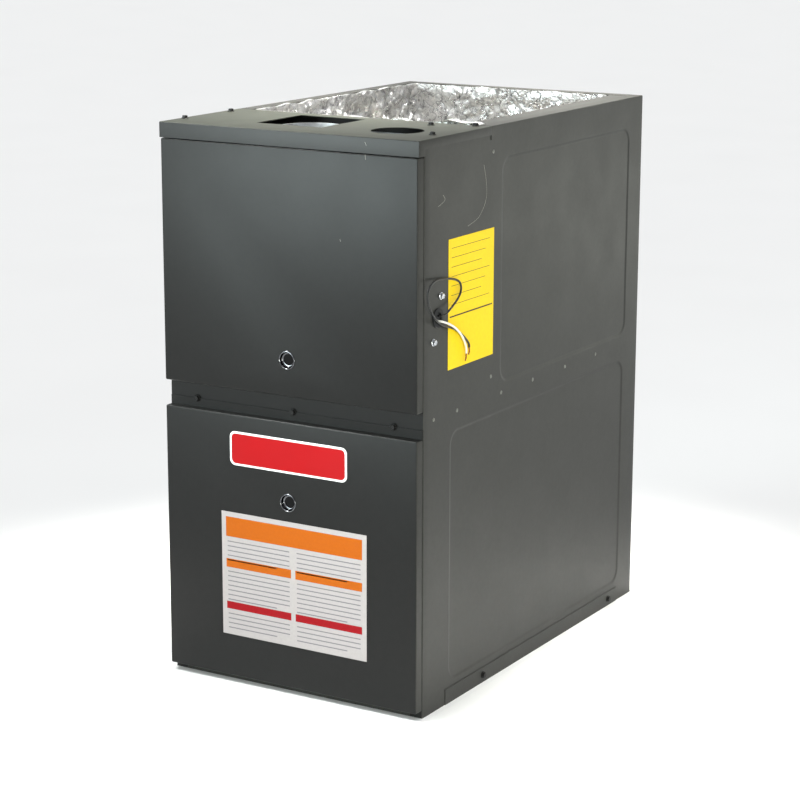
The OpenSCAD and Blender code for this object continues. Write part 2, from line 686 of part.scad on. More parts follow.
module burners() color("#b0afa8") {
    for (x = hx_xs) translate([x, burner_exit_y, burner_z]) burner();
    // crossover strip that carries the flame from burner to burner
    block([hx_xs[0], -hx_xs[0]], [burner_exit_y - 8, burner_exit_y - 2],
        [burner_z + burner_bell_r - 0.6, burner_z + burner_bell_r + 2.5]);
}

module burner_bracket() color("#a8aaa6")
difference() {
    union() {
        block([-bracket_x, bracket_x], [burner_in_y + 6, vest_y - hx_rim_t - 0.3],
            [bracket_low_z, bracket_low_z + sheet]);
        for (s = [-1, 1]) {
            block(side_span(s, bracket_x, bracket_x + sheet),
                [bracket_front_y, vest_y], [bracket_low_z, bracket_high_z]);
            block(side_span(s, bracket_x, bracket_x + 14),
                [vest_y - sheet, vest_y], [bracket_low_z, bracket_high_z]);
        }
        for (y = [burner_in_y + 18, burner_exit_y - 26])
            block([-bracket_x, bracket_x], [y, y + sheet], [bracket_low_z, burner_z + burner_tube_r + 6]);
        block([-bracket_x - sheet, bracket_x + sheet], [rollout_y - 12, rollout_y + 12],
            [bracket_high_z - sheet, bracket_high_z]);
    }
    for (x = hx_xs)
        rod_y(x, [burner_in_y + 10, burner_exit_y - 20], burner_z, burner_tube_r + screw_fit);
    rod_x([-bracket_x - 2, bracket_x + 2], manifold_y, burner_z, manifold_r + screw_fit);
    rod_x([-bracket_x - 2, bracket_x + 2], burner_exit_y + 12, burner_z, 5);
    rod_z(rollout_x, rollout_y, [bracket_high_z - 2, bracket_high_z + 1], 6);
}

module gas_manifold() color("#5a5c5a")
difference() {
    union() {
        rod_x([outlet_x, bracket_x + 8], manifold_y, burner_z, manifold_r);
        translate([outlet_x, manifold_y, burner_z]) sphere(manifold_r);
        rod_z(outlet_x, manifold_y, [burner_z, valve_z], manifold_r);
        rod_z(outlet_x, manifold_y, [valve_z - 12, valve_z], manifold_r + 3);
        rod_x([bracket_x + 4, bracket_x + 12], manifold_y, burner_z, manifold_r + 1.5);
        for (x = hx_xs) rod_y(x, [manifold_y, manifold_y + 14], burner_z, 8);
    }
    rod_x([outlet_x, bracket_x], manifold_y, burner_z, manifold_r - 2.7);
    for (x = hx_xs) rod_y(x, [manifold_y, manifold_y + 15], burner_z, 3);
}

module burner_orifices() color("#c7a046")
for (x = hx_xs) difference() {
    union() {
        translate([x, manifold_y + 14 + orifice_len * 0.6, burner_z]) rotate([90, 0, 0])
            cylinder(h = orifice_len * 0.6, r = 6.5, $fn = 6);
        rod_y(x, [manifold_y + 14, manifold_y + 14 + orifice_len], burner_z, 4);
    }
    rod_y(x, [manifold_y + 13, manifold_y + 15 + orifice_len], burner_z, 1.2);
}

module gas_valve() color("#a9abad")
difference() {
    union() {
        block([valve_x, valve_x + valve_size.x], [valve_y, valve_y + valve_size.y],
            [valve_z, valve_z + valve_size.z]);
        rod_x([valve_x - gas_boss_len, valve_x + 1], gas_y, gas_z, gas_inlet_r + 6);
        rod_y(outlet_x - 14, [valve_y - 4, valve_y + 1], valve_z + 20, 9);
    }
    rod_x([valve_x - gas_boss_len - 1, valve_x - gas_boss_len + gas_thread_len], gas_y, gas_z, gas_inlet_r);
    rod_y(knob_x, [valve_y - 1, valve_y + 8], knob_z, knob_stem_r + run_fit);
}

module gas_valve_cap() color("#2b2c2e") {
    block([valve_x + 5, valve_x + 47], [valve_y + 8, valve_y + 66],
        [valve_z + valve_size.z, valve_z + valve_size.z + 24]);
    block([valve_x + 10, valve_x + 26], [valve_y + 28, valve_y + 46],
        [valve_z + valve_size.z + 24, valve_z + valve_size.z + 30]);
}

module gas_valve_knob() color("#1f2022") {
    rod_y(knob_x, [valve_y - 2, valve_y + 7], knob_z, knob_stem_r);
    rod_y(knob_x, [valve_y - 6, valve_y - 0.4], knob_z, knob_r);
    block([knob_x - 2.5, knob_x + 2.5], [valve_y - 9.5, valve_y - 5],
        [knob_z - knob_r + 1, knob_z + knob_r - 1]);
}

module gas_pipe_grommet() color("#202020")
difference() {
    union() {
        rod_x([-wall_x - grommet_flange_t, -wall_x], gas_y, gas_z, gas_hole_r + 4);
        rod_x([-wall_x - grommet_flange_t, -in_x + 0.5], gas_y, gas_z, gas_hole_r - 0.1);
    }
    rod_x([-wall_x - 5, -in_x + 5], gas_y, gas_z, gas_hole_r - 4.5);
}

// A rod held by a ceramic block on the burner bracket's side, reaching over a burner's flame
module flame_rod(s, rod_r, block_h) {
    block(side_span(s, bracket_x + sheet, bracket_x + 19),
        [burner_exit_y + 3, burner_exit_y + 21], [burner_z - block_h / 2, burner_z + block_h / 2]);
    rod_x(side_span(s, bracket_x - 24, bracket_x + 4),
        burner_exit_y + 12, burner_z, rod_r);
}
module hot_surface_igniter() color("#d9d3c4") flame_rod(1, 3, 24);
module flame_sensor() color("#d9d3c4") flame_rod(-1, 1.6, 16);

module rollout_switch() color("#30343a")
difference() {
    union() {
        rod_z(rollout_x, rollout_y, [bracket_high_z, bracket_high_z + rollout_h], 10);
        block([rollout_x - 16, rollout_x + 16], [rollout_y - 6, rollout_y + 6],
            [bracket_high_z, bracket_high_z + 1.2]);
        rod_z(rollout_x, rollout_y, [bracket_high_z - 3, bracket_high_z + 1], 5.7);
    }
    rod_z(rollout_x, rollout_y, [bracket_high_z + 4, bracket_high_z + rollout_h + 1],
        button_stem_r + run_fit);
}

module rollout_button() color("#a8201c") {
    cap_z = bracket_high_z + rollout_h + button_lift;
    rod_z(rollout_x, rollout_y, [bracket_high_z + 7, cap_z + 1], button_stem_r);
    rod_z(rollout_x, rollout_y, [cap_z, cap_z + 2.5], 4);
}

module limit_switch() color("#2d2f33") {
    x = -in_x + 45;
    z = hx_out_z + 10;
    block([x - 20, x + 20], [vest_y - 1.2, vest_y], [z - 14, z + 14]);
    rod_y(x, [vest_y - 16, vest_y - 1], z, 10);
    for (s = [-1, 1])
        block([x + s * 5 - 3, x + s * 5 + 3], [vest_y - 24, vest_y - 15], [z - 0.4, z + 0.4]);
}

module pressure_switch() color("#3a3f45") {
    block([switch_x - 14, switch_x + 14], [vest_y - sheet, vest_y], [switch_z - 40, switch_z + 40]);
    rod_y(switch_x, [switch_y, vest_y - sheet + eps], switch_z, 12);
    rod_y(switch_x, [switch_y - switch_d, switch_y], switch_z, switch_r);
    rod_y(switch_x, [switch_y - switch_d + 6, switch_y - 6], switch_z, switch_r + 1.5);
    rod_y(switch_x, [hose_a.y, switch_y - switch_d], switch_z, barb_r);
}

module pressure_hose() color("#25282c") tube_along(hose_route, hose_r, 3);

// ---- inducer ----
// The volute and its neck, seen from the front; grow moves the outline out
module volute(grow) {
    translate([inducer_x, inducer_z]) mirror([1, 0])
        polygon(scroll(volute_r0 + grow, volute_r1 + grow, -285, 0, 44));
    translate([inducer_x - volute_r1 - grow, inducer_z])
        square([2 * flue_r + 2 * grow, flue_box_z - inducer_z + (grow < 0 ? 1 : 0)]);
}

module inducer_housing() color("#8b8d8c")
difference() {
    union() {
        face_y([inducer_front_y, inducer_back_y]) volute(0);
        block([vent_x - flue_box_half, vent_x + flue_box_half],
            [vent_y - flue_box_half, vent_y + flue_box_half], [flue_box_z, flue_box_z + flue_box_h]);
        rod_y(hose_b.x, [hose_b.y, inducer_front_y + 1], hose_b.z, barb_r);
    }
    face_y([inducer_front_y + inducer_wall, inducer_back_y - inducer_wall]) volute(-inducer_wall);
    block([vent_x - flue_box_half + inducer_wall, vent_x + flue_box_half - inducer_wall],
        [vent_y - flue_box_half + inducer_wall, vent_y + flue_box_half - inducer_wall],
        [flue_box_z + inducer_wall, flue_box_z + flue_box_h + 1]);
    block([vent_x - flue_r + inducer_wall, vent_x + flue_r - inducer_wall],
        [inducer_front_y + inducer_wall, inducer_back_y - inducer_wall], [flue_box_z - 2, flue_box_z + 3]);
    rod_y(inducer_x, [inducer_back_y - 3, inducer_back_y + 1], inducer_z, inducer_inlet_r);
    rod_y(inducer_x, [inducer_front_y - 1, inducer_front_y + 3], inducer_z, inducer_shaft_r + 3);
}

module inducer_wheel() color("#6d6f70") {
    wheel_back_y = inducer_back_y - 8;
    wheel_depth = inducer_depth - 26;
    wheel_front_y = wheel_back_y - wheel_depth;
    rod_y(inducer_x, [wheel_front_y, wheel_front_y + 2], inducer_z, inducer_wheel_r);
    rod_y(inducer_x, [wheel_front_y, wheel_back_y - 8], inducer_z, 11);
    for (a = [0:30:330])
        translate([inducer_x, 0, inducer_z]) rotate([0, a, 0])
        block([10, inducer_wheel_r - 2], [wheel_front_y, wheel_back_y], [-1, 1]);
    rod_y(inducer_x, [inducer_motor_front_y - 14, wheel_back_y - 12], inducer_z, inducer_shaft_r);
}

module cooling_fan() color("#1d1e20")
difference() {
    union() {
        rod_y(inducer_x, [inducer_motor_front_y - 12, inducer_motor_front_y - 3], inducer_z, 9);
        rod_y(inducer_x, [inducer_motor_front_y - 5, inducer_motor_front_y - 3], inducer_z, fan_r);
        for (a = [0:40:320])
            translate([inducer_x, 0, inducer_z]) rotate([0, a, 0])
            block([8, fan_r - 1], [inducer_motor_front_y - 12, inducer_motor_front_y - 4], [-0.8, 0.8]);
    }
    rod_y(inducer_x, [inducer_motor_front_y - 13, inducer_motor_front_y], inducer_z, inducer_shaft_r);
}

module inducer_motor() color("#4a4c4e")
difference() {
    union() {
        rod_y(inducer_x, [inducer_motor_front_y + 6, inducer_motor_back_y - 6], inducer_z, inducer_motor_r);
        rod_y(inducer_x, [inducer_motor_front_y, inducer_motor_back_y], inducer_z, inducer_motor_r - 8);
        for (a = [30, 150, 270])
            translate([inducer_x + 34 * cos(a), 0, inducer_z + 34 * sin(a)])
            rod_y(0, [inducer_motor_back_y - 7, inducer_front_y], 0, 4);
    }
    rod_y(inducer_x, [inducer_motor_front_y - 1, inducer_motor_back_y + 1], inducer_z,
        inducer_shaft_r + run_fit);
}

module flue_collar() color("#c9cccc")
difference() {
    union() {
        block([vent_x - flue_box_half, vent_x + flue_box_half],
            [vent_y - flue_box_half, vent_y + flue_box_half],
            [flue_box_z + flue_box_h, flue_box_z + flue_box_h + sheet]);
        rod_z(vent_x, vent_y, [flue_box_z + flue_box_h, collar_top_z], flue_r);
    }
    rod_z(vent_x, vent_y, [flue_box_z, collar_top_z + 1], flue_r - flue_wall);
}

// ---- electrical parts in the burner compartment ----
module junction_box() color("#a3a5a2")
difference() {
    block([in_x - jbox_d, in_x], jbox_y, jbox_z);
    block([in_x - jbox_d + sheet, in_x - sheet], [jbox_y[0] + sheet, jbox_y[1] - sheet],
        [jbox_z[0] + sheet, jbox_z[1] - sheet]);
    rod_x([in_x - 2, in_x + 1], wire_y, wire_z, wire_hole_r);
    for (p = silver_screw_spots) rod_x([in_x - 2, in_x + 1], p[0], p[1], screw_r + screw_fit);
}

// A snap bushing with a closed web that the wires pass through
module wire_grommet() color("#1c1c1c")
difference() {
    union() {
        rod_x([wall_x, wall_x + grommet_flange_t], wire_y, wire_z, grommet_flange_r);
        rod_x([in_x - 5, wall_x + 1], wire_y, wire_z, wire_hole_r - 0.1);
    }
    rod_x([wall_x, wall_x + 5], wire_y, wire_z, wire_hole_r - 2.5);
    rod_x([in_x - 6, in_x], wire_y, wire_z, wire_hole_r - 2.5);
}

// ---- blower ----
module scroll_side(grow) {
    translate([blower_y, blower_z])
        polygon(scroll(scroll_r0 + grow, scroll_r1 + grow, scroll_a0, 360, 48));
    translate([discharge_y[0] - grow, blower_z]) square([discharge_y[1] - discharge_y[0] + 2 * grow,
        deck_under_z - 0.3 - blower_z + (grow < 0 ? 1 : 0)]);
}

module blower_housing() color("#a5a7a4")
difference() {
    union() {
        face_x([-housing_x, housing_x]) scroll_side(0);
        // side plates carried up to the slide flanges
        for (s = [-1, 1]) {
            block(side_span(s, housing_x - scroll_wall, housing_x),
                [slide_front_y, discharge_y[1]], [blower_z, slide_top_z]);
            block(side_span(s, housing_x - eps, rail_out_x - slide_gap + eps),
                [slide_front_y, discharge_y[1]], [slide_low_z, slide_top_z]);
        }
    }
    face_x([-housing_x + scroll_wall, housing_x - scroll_wall]) scroll_side(-scroll_wall);
    rod_x([-housing_x - 1, housing_x + 1], blower_y, blower_z, inlet_r);
}

module blower_wheel() color("#8d8f8e")
difference() {
    union() {
        face_x([-wheel_w / 2, wheel_w / 2])
            translate([blower_y, blower_z])
            for (i = [0:blade_count - 1]) rotate(i * 360 / blade_count) wheel_blade();
        for (x = [-wheel_w / 2, wheel_w / 2 - 3])
            face_x([x, x + 3]) translate([blower_y, blower_z]) difference() {
                circle(wheel_r);
                circle(wheel_r - 8);
            }
        rod_x([-1, 1], blower_y, blower_z, wheel_r - 3);
        rod_x([-22, motor_x - 4], blower_y, blower_z, 16);
    }
    rod_x([-23, motor_x], blower_y, blower_z, blower_shaft_r);
}
// A forward-curved blade: an arc strip between the wheel's inner and outer radius
module wheel_blade() {
    inner = wheel_r - 22;
    thick = 0.7;
    polygon(concat(
        [for (t = [0:0.25:1]) blade_point(inner + 20 * t, t, 0)],
        [for (t = [1:-0.25:0]) blade_point(inner + 20 * t, t, thick)]));
}
function blade_point(r, t, off) = let (a = 9 * t * t + off * 180 / (PI * r)) r * [cos(a), sin(a)];

module blower_shaft() color("#b8babb")
    rod_x([-28, motor_x + motor_len * 0.6], blower_y, blower_z, blower_shaft_r);

module blower_motor() color("#3d4043")
difference() {
    union() {
        rod_x([motor_x, motor_x + motor_len], blower_y, blower_z, motor_r - 8);
        rod_x([motor_x + 8, motor_x + motor_len - 8], blower_y, blower_z, motor_r);
    }
    rod_x([motor_x - 1, motor_x + motor_len * 0.65], blower_y, blower_z, blower_shaft_r + run_fit);
}

module motor_mount() color("#8f9190") {
    difference() {
        rod_x([mount_x - 10, mount_x + 8], blower_y, blower_z, motor_r + 1.6);
        rod_x([mount_x - 11, mount_x + 9], blower_y, blower_z, motor_r);
    }
    for (a = [90, 210, 330]) {
        translate([mount_x, blower_y, blower_z]) rotate([a, 0, 0])
            rod_y(0, [motor_r + 0.8, mount_r], 0, 3.5);
        translate([0, blower_y + mount_r * cos(a), blower_z + mount_r * sin(a)])
            rod_x([housing_x, mount_x + 3.5], 0, 0, 5);
    }
}

module blower_rails() color("#9a9c98")
for (s = [-1, 1]) {
    y = [tray_y + 20, discharge_y[1] + 20];
    block(side_span(s, housing_x + 1, rail_out_x), y,
        [deck_under_z - sheet, deck_under_z]);
    block(side_span(s, rail_out_x - sheet, rail_out_x), y,
        [rail_flange_z, deck_under_z]);
    block(side_span(s, rail_lip_in_x, rail_out_x), y,
        [rail_flange_z, rail_flange_z + sheet]);
}

// ---- controls in the blower compartment ----
module control_board_tray() color("#b3b5b1") {
    block(tray_x, [tray_y - sheet, tray_y], [tray_low_z, deck_under_z]);
    block(tray_x, [tray_y - sheet, tray_y + 14], [deck_under_z - sheet, deck_under_z]);
    for (x = [tray_x[0], tray_x[1] - sheet])
        block([x, x + sheet], [tray_y - sheet, tray_y + 14], [tray_low_z, deck_under_z]);
}

module control_board() color("#23633c") {
    y = tray_y - sheet - board_gap;
    block([board_x, board_x + board_w], [y - board_t, y], [board_z, board_z + board_h]);
    for (x = [board_x + 6, board_x + board_w - 6], z = [board_z + 6, board_z + board_h - 6])
        rod_y(x, [y - 0.1, tray_y - sheet], z, 3);
    // relays, terminal rows, fuse and sockets
    for (i = [0:3])
        block([board_x + 14 + i * 24, board_x + 32 + i * 24], [y - board_t - 16, y - board_t + eps],
            [board_z + 20, board_z + 44]);
    block([board_x + 10, board_x + board_w - 20], [row_front_y, y - board_t + eps],
        [board_z + board_h - 16, board_z + board_h - 6]);
    block([board_x + board_w - 40, board_x + board_w - 12], [y - board_t - 12, y - board_t + eps],
        [board_z + 55, board_z + 80]);
    rod_y(board_x + 20, [y - board_t - 4, y - board_t + eps], board_z + 62, 2.5);
}

module transformer() color("#3a3a3c") {
    block([trans_x[0] - 6, trans_x[1] + 6], trans_y, [deck_under_z - 1.5, deck_under_z]);
    block([trans_x[0] + 6, trans_x[1] - 6], [trans_y[0] + 10, trans_y[1] - 10],
        [deck_under_z - 62, deck_under_z - 1]);
    block([trans_x[0], trans_x[1]], trans_y, [deck_under_z - 50, deck_under_z - 12]);
}

module door_switch() color("#e8e6df")
difference() {
    block([door_switch_x - 12, door_switch_x + 12], [frame_y + sheet, plunger_back_y + 2 * plunger_travel],
        [door_switch_z - 10, door_switch_z + 10]);
    rod_y(door_switch_x, [frame_y, plunger_back_y + plunger_travel], door_switch_z, plunger_r + run_fit);
}

module door_switch_plunger() color("#c8322a")
    rod_y(door_switch_x, [frame_y - plunger_out, plunger_back_y], door_switch_z, plunger_r);

module internal_wiring() color("#2a2c52") {
    tube_along(harness_route, 4, 3);
    tube_along(motor_lead_route, 4, 3);
    tube_along(power_lead_route, 4, 3);
}

// ---- fasteners, cards and the supply wires ----
module cabinet_screws() color("#1b1b1b") {
    for (p = top_screws) translate([p[0], p[1], cab_h]) hex_screw(sheet + 9);
    for (s = [-1, 1], y = base_screw_ys)
        translate([s * (wall_x + sheet), y, base_strip_h / 2]) rotate([0, s * 90, 0]) hex_screw(8);
    for (s = [-1, 1]) {
        for (y = rivet_ys)
            translate([s * wall_x, y, rivet_z]) rotate([0, s * 90, 0])
            rivet(y < deck_flange_end_y ? 2 * sheet : sheet);
        for (z = vest_rivet_zs)
            translate([s * wall_x, vest_rivet_y, z]) rotate([0, s * 90, 0]) rivet(2 * sheet);
    }
}
module rivet(grip) {
    cylinder(h = rivet_h, r1 = rivet_r, r2 = rivet_r - 1, $fn = 24);
    translate([0, 0, -grip]) cylinder(h = grip + eps, r = rivet_shank_r, $fn = 24);
}

module silver_screws() color("#c3c5c6")
for (p = silver_screw_spots)
    translate([wall_x, p[0], p[1]]) rotate([0, 90, 0]) hex_screw(8);

module yellow_card() color("#f7df10") {
    y0 = wire_y + 30.5;
    z0 = wire_z - 82;
    block([wall_x, wall_x + 0.4], [y0, y0 + card_w], [z0, z0 + card_h]);
}

module supply_wire_black() color("#161616") tube_along(black_route, wire_r, 2);
module supply_wire_white() color("#e9e8e2") tube_along(white_route, wire_r, 2);
module bare_wire_ends() color("#b8703a") {
    tube_along(black_bare_route, copper_r, 2);
    tube_along(white_bare_route, copper_r, 2);
}

// ---- doors ----
// A door pan: a front sheet with edges turned back to the frame
module door_pan(z) {
    difference() {
        block([-door_x, door_x], [front_y, door_back_y], z);
        block([-door_x + sheet, door_x - sheet], [front_y + sheet, door_back_y + 1],
            [z[0] + sheet, z[1] - sheet]);
    }
}

module upper_door_panel() color("#464845")
difference() {
    door_pan([upper_door_z, upper_door_top_z]);
    rod_y(0, [front_y - 1, front_y + sheet + 1], upper_sight_z, sight_hole_r);
}

module lower_door_panel() color("#464845")
difference() {
    union() {
        door_pan([lower_door_z, lower_door_top_z]);
        block([-door_x, door_x], [door_back_y - sheet, door_back_y], [lower_door_top_z - sheet, lip_top_z]);
        // striker that holds the door switch in
        block([door_switch_x - 7, door_switch_x + 7],
            [front_y + sheet - eps, frame_y - plunger_out - seat_gap],
            [door_switch_z - 5, door_switch_z + 5]);
    }
    rod_y(0, [front_y - 1, front_y + sheet + 1], lower_sight_z, sight_hole_r);
    for (i = [-1, 0, 1])
        rod_y(i * door_screw_pitch, [door_back_y - sheet - 1, door_back_y + 1], lip_top_z,
            screw_r + 2 * screw_fit);
}

module lower_door_screws() color("#1b1b1b")
for (i = [-1, 0, 1])
    translate([i * door_screw_pitch, door_back_y - sheet, lip_top_z]) rotate([90, 0, 0]) hex_screw(12);

// A snap-in bezel with a short cup behind the sheet
module sight_ring(z) translate([0, front_y, z]) rotate([90, 0, 0]) rotate_extrude()
polygon([
    [sight_glass_r, -sight_cup_d], [sight_hole_r - 0.1, -sight_cup_d], [sight_hole_r - 0.1, 0],
    [sight_ring_r, 0], [sight_ring_r, ring_proud - 0.6], [sight_ring_r - 0.8, ring_proud],
    [sight_hole_r + 0.2, ring_proud], [sight_lens_r + 2.2, 1 - sight_dish_d],
    [sight_lens_r, -sight_dish_d], [sight_lens_r, -sight_flange_d], [sight_glass_r, -sight_flange_d]
]);
module sight_lens(z) translate([0, front_y + sight_flange_d + 2, z]) rotate([90, 0, 0])
    cylinder(h = 2, r = sight_glass_r);

module upper_sight_ring() color("#191919") sight_ring(upper_sight_z);
module upper_sight_lens() color("#8c9296") sight_lens(upper_sight_z);
module lower_sight_ring() color("#191919") sight_ring(lower_sight_z);
module lower_sight_lens() color("#8c9296") sight_lens(lower_sight_z);

module badge_plate() color("#d5202c")
face_y([front_y - 0.8, front_y]) translate([0, badge_z]) rounded_rect(badge_w, badge_h, badge_r);

module notice_sheet() color("#f2efe9")
block([notice_x - notice_w / 2, notice_x + notice_w / 2], [front_y - 0.3, front_y],
    [notice_z, notice_z + notice_h]);

cabinet_wrap();
base_pan();
top_plate();
front_rail();
blower_deck();
vestibule_panel();
foil_blanket();
foil_blanket_front();
heat_exchanger_tubes();
tube_baffle();
collector_box();
burners();
burner_bracket();
gas_manifold();
burner_orifices();
gas_valve();
gas_valve_cap();
gas_valve_knob();
gas_pipe_grommet();
hot_surface_igniter();
flame_sensor();
rollout_switch();
rollout_button();
limit_switch();
pressure_switch();
pressure_hose();
inducer_housing();
inducer_motor();
inducer_wheel();
cooling_fan();
flue_collar();
junction_box();
wire_grommet();
blower_housing();
blower_wheel();
blower_shaft();
blower_motor();
motor_mount();
blower_rails();
control_board_tray();
control_board();
transformer();
door_switch();
door_switch_plunger();
internal_wiring();
cabinet_screws();
silver_screws();
yellow_card();
supply_wire_black();
supply_wire_white();
bare_wire_ends();
upper_door_panel();
upper_sight_ring();
upper_sight_lens();
lower_door_panel();
lower_door_screws();
lower_sight_ring();
lower_sight_lens();
badge_plate();
notice_sheet();
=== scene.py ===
"""The finish of a forced air gas furnace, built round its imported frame: enamelled panels with
real bends, crinkled foil liners, labels, fasteners and supply wires. Metres, +Z up."""

import math

import bmesh
import bpy
from bpy.props import FloatProperty, FloatVectorProperty, PointerProperty
from mathutils import Matrix, Vector, noise


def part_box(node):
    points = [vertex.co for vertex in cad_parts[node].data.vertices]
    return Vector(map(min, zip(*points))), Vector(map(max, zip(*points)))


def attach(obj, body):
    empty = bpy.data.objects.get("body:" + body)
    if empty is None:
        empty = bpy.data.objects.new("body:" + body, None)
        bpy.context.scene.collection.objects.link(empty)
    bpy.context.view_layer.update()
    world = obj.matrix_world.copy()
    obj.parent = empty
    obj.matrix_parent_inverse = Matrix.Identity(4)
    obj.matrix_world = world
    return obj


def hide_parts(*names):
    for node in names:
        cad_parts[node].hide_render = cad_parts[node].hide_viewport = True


bl_info = {
    "name": "Gas Furnace Finish",
    "version": (1, 0, 0),
    "blender": (4, 5, 0),
    "location": "View3D > Sidebar > Furnace",
    "description": "Builds the panels, foil, labels, wires and finishes of a gas furnace",
    "category": "Object",
}

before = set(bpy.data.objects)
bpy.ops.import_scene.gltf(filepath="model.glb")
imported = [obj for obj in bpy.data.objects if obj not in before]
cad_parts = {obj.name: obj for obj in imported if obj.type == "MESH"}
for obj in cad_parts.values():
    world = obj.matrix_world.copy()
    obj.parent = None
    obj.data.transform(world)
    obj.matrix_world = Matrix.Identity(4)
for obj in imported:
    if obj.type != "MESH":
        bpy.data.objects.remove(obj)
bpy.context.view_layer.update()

MM = 0.001
SHEET = 1 * MM

# Planes of the cabinet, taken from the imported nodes
WRAP_LOW, WRAP_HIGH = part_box("cabinet_wrap")
TOP_LOW, TOP_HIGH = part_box("top_plate")
FRAME_Y = WRAP_LOW.y
BACK_Y = WRAP_HIGH.y
CAB_TOP = TOP_HIGH.z
WALL_X = TOP_HIGH.x - SHEET
BURNER_BACK_Y = TOP_HIGH.y


def rgb(code):
    """An sRGB hex colour as linear RGBA."""
    parts = [int(code[i:i + 2], 16) / 255 for i in (1, 3, 5)]
    return (*[c / 12.92 if c <= 0.04045 else ((c + 0.055) / 1.055) ** 2.4 for c in parts], 1.0)


def length_property(name, value_mm, description):
    """A length of that many millimetres, kept in metres."""
    return FloatProperty(name=name, default=value_mm * MM, unit="LENGTH", description=description)


def colour_property(name, code, description):
    """A colour, given as sRGB hex."""
    return FloatVectorProperty(name=name, default=rgb(code), size=4, subtype="COLOR",
                               min=0.0, max=1.0, description=description)


# ---- sizes and colours that a user would change ----
class PanelSettings(bpy.types.PropertyGroup):
    """The enamelled sheet steel."""

    bend_radius: length_property("Bend radius", 1.6, "Outer radius of the sheet's bends")
    door_radius: length_property("Door radius", 2.4, "Outer radius of the doors' bends")
    field_depth: length_property("Field depth", 1.0, "How far the sides' fields are pressed in")
    field_slope: length_property("Field slope", 4.5, "Width of the slope round a pressed field")
    field_corner: length_property("Field corner", 22, "Corner radius of the pressed fields")
    rim_width: length_property("Rim width", 19, "Width of the supply opening's rim")
    lip_depth: length_property("Lip depth", 9, "Depth of the rim's turned-down lip")
    strip_width: length_property("Strip width", 50, "Width of the duct strip under the right rim")
    return_width: length_property("Return width", 20, "Width of the returns behind the doors")
    cabinet: colour_property("Cabinet", "#30302d", "Enamel of the wrap")
    top: colour_property("Top plate", "#31332b", "Enamel of the top plate")
    doors: colour_property("Doors", "#161615", "Enamel of the two doors")


class FoilSettings(bpy.types.PropertyGroup):
    """The foil facing of the insulation."""

    grid: length_property("Grid", 2.4, "Spacing of the mesh that carries the creases")
    folds: length_property("Folds", 7, "Height of the broad folds")
    creases: length_property("Creases", 3.4, "Height of the fine creases")
    flap: length_property("Flap", 8.8, "How far the facing stands up in front of the rim's lip")
    bulge: length_property("Bulge", 6, "How far the front fold stands above the top plate")
    colour: colour_property("Foil", "#f2f1f0", "Bright aluminium facing")


class WireSettings(bpy.types.PropertyGroup):
    """The supply wires on the right side."""

    radius: length_property("Wire radius", 1.6, "Radius over the insulation")
    strand_radius: length_property("Strand radius", 0.36, "Radius of one copper strand")
    black: colour_property("Black", "#0b0b0c", "Insulation of the live wire")
    white: colour_property("White", "#e9e7e0", "Insulation of the neutral wire")
    copper: colour_property("Copper", "#7d4a2e", "Bare strands")


class LabelSettings(bpy.types.PropertyGroup):
    """The badge plate, the notice sheet and the side card, all without words."""

    border: length_property("Badge border", 3.2, "Width of the badge's white border")
    badge: colour_property("Badge", "#a20007", "Field of the bare badge")
    orange: colour_property("Orange", "#ae5600", "Orange bands of the notice sheet")
    red: colour_property("Red", "#8f000c", "Red bands of the notice sheet")
    paper: colour_property("Paper", "#aaa4a3", "Coated paper")
    card: colour_property("Card", "#f4cf00", "Yellow card")


class StageSettings(bpy.types.PropertyGroup):
    """Camera and light."""

    azimuth: FloatProperty(name="Azimuth", default=math.radians(30.86), subtype="ANGLE",
                           description="Camera's turn round the furnace from the doors")
    elevation: FloatProperty(name="Elevation", default=math.radians(13.33), subtype="ANGLE",
                             description="Camera's height above the horizon")
    roll: FloatProperty(name="Roll", default=math.radians(0.15), subtype="ANGLE",
                        description="Camera's turn about its own axis")
    lens: FloatProperty(name="Lens", default=104.97, description="Focal length in millimetres")
    camera_place: FloatVectorProperty(name="Camera place", default=(1.8401, -3.119, 1.2403),
                                      subtype="XYZ", unit="LENGTH",
                                      description="Where the camera stands")
    room_light: FloatProperty(name="Room light", default=0.6,
                              description="Strength of the even light all round")
    floor: colour_property("Floor", "#fafaf9", "Plain pale floor")


# ---- materials ----
def add(tree, kind, inputs=None, **settings):
    """Adds a node. inputs maps a socket's name or number to a value, or to a socket to link."""
    node = tree.nodes.new("ShaderNode" + kind)
    for name, value in settings.items():
        setattr(node, name, value)
    for name, value in (inputs or {}).items():
        if isinstance(value, bpy.types.NodeSocket):
            tree.links.new(value, node.inputs[name])
        else:
            node.inputs[name].default_value = value
    return node


def per_mm(size):
    """The texture scale that makes a pattern of that size in millimetres."""
    return 1000 / size


def new_material(name, colour, roughness, **sockets):
    """A material whose even values are set on the shader itself. Returns it with its node tree,
    its shader and the place on the object."""
    material = bpy.data.materials.new(name)
    material.use_nodes = True
    material.diffuse_color = colour
    tree = material.node_tree
    shader = tree.nodes["Principled BSDF"]
    shader.inputs["Base Color"].default_value = colour
    shader.inputs["Roughness"].default_value = roughness
    for socket, value in sockets.items():
        shader.inputs[socket.replace("_", " ")].default_value = value
    place = add(tree, "TexCoord").outputs["Object"]
    return material, tree, shader, place


def shaded(colour, share):
    """The colour made lighter or darker."""
    return (*[min(1.0, c * share) for c in colour[:3]], 1.0)


def blend(tree, factor, first, second):
    """The socket of a colour between two others."""
    mix = add(tree, "Mix", {"Factor": factor, "A": first, "B": second}, data_type="RGBA")
    return mix.outputs["Result"]


def cloud(tree, place, size, detail):
    """The socket of a noise of that size in millimetres."""
    noisy = add(tree, "TexNoise", {"Vector": place, "Scale": per_mm(size), "Detail": detail})
    return noisy.outputs["Fac"]


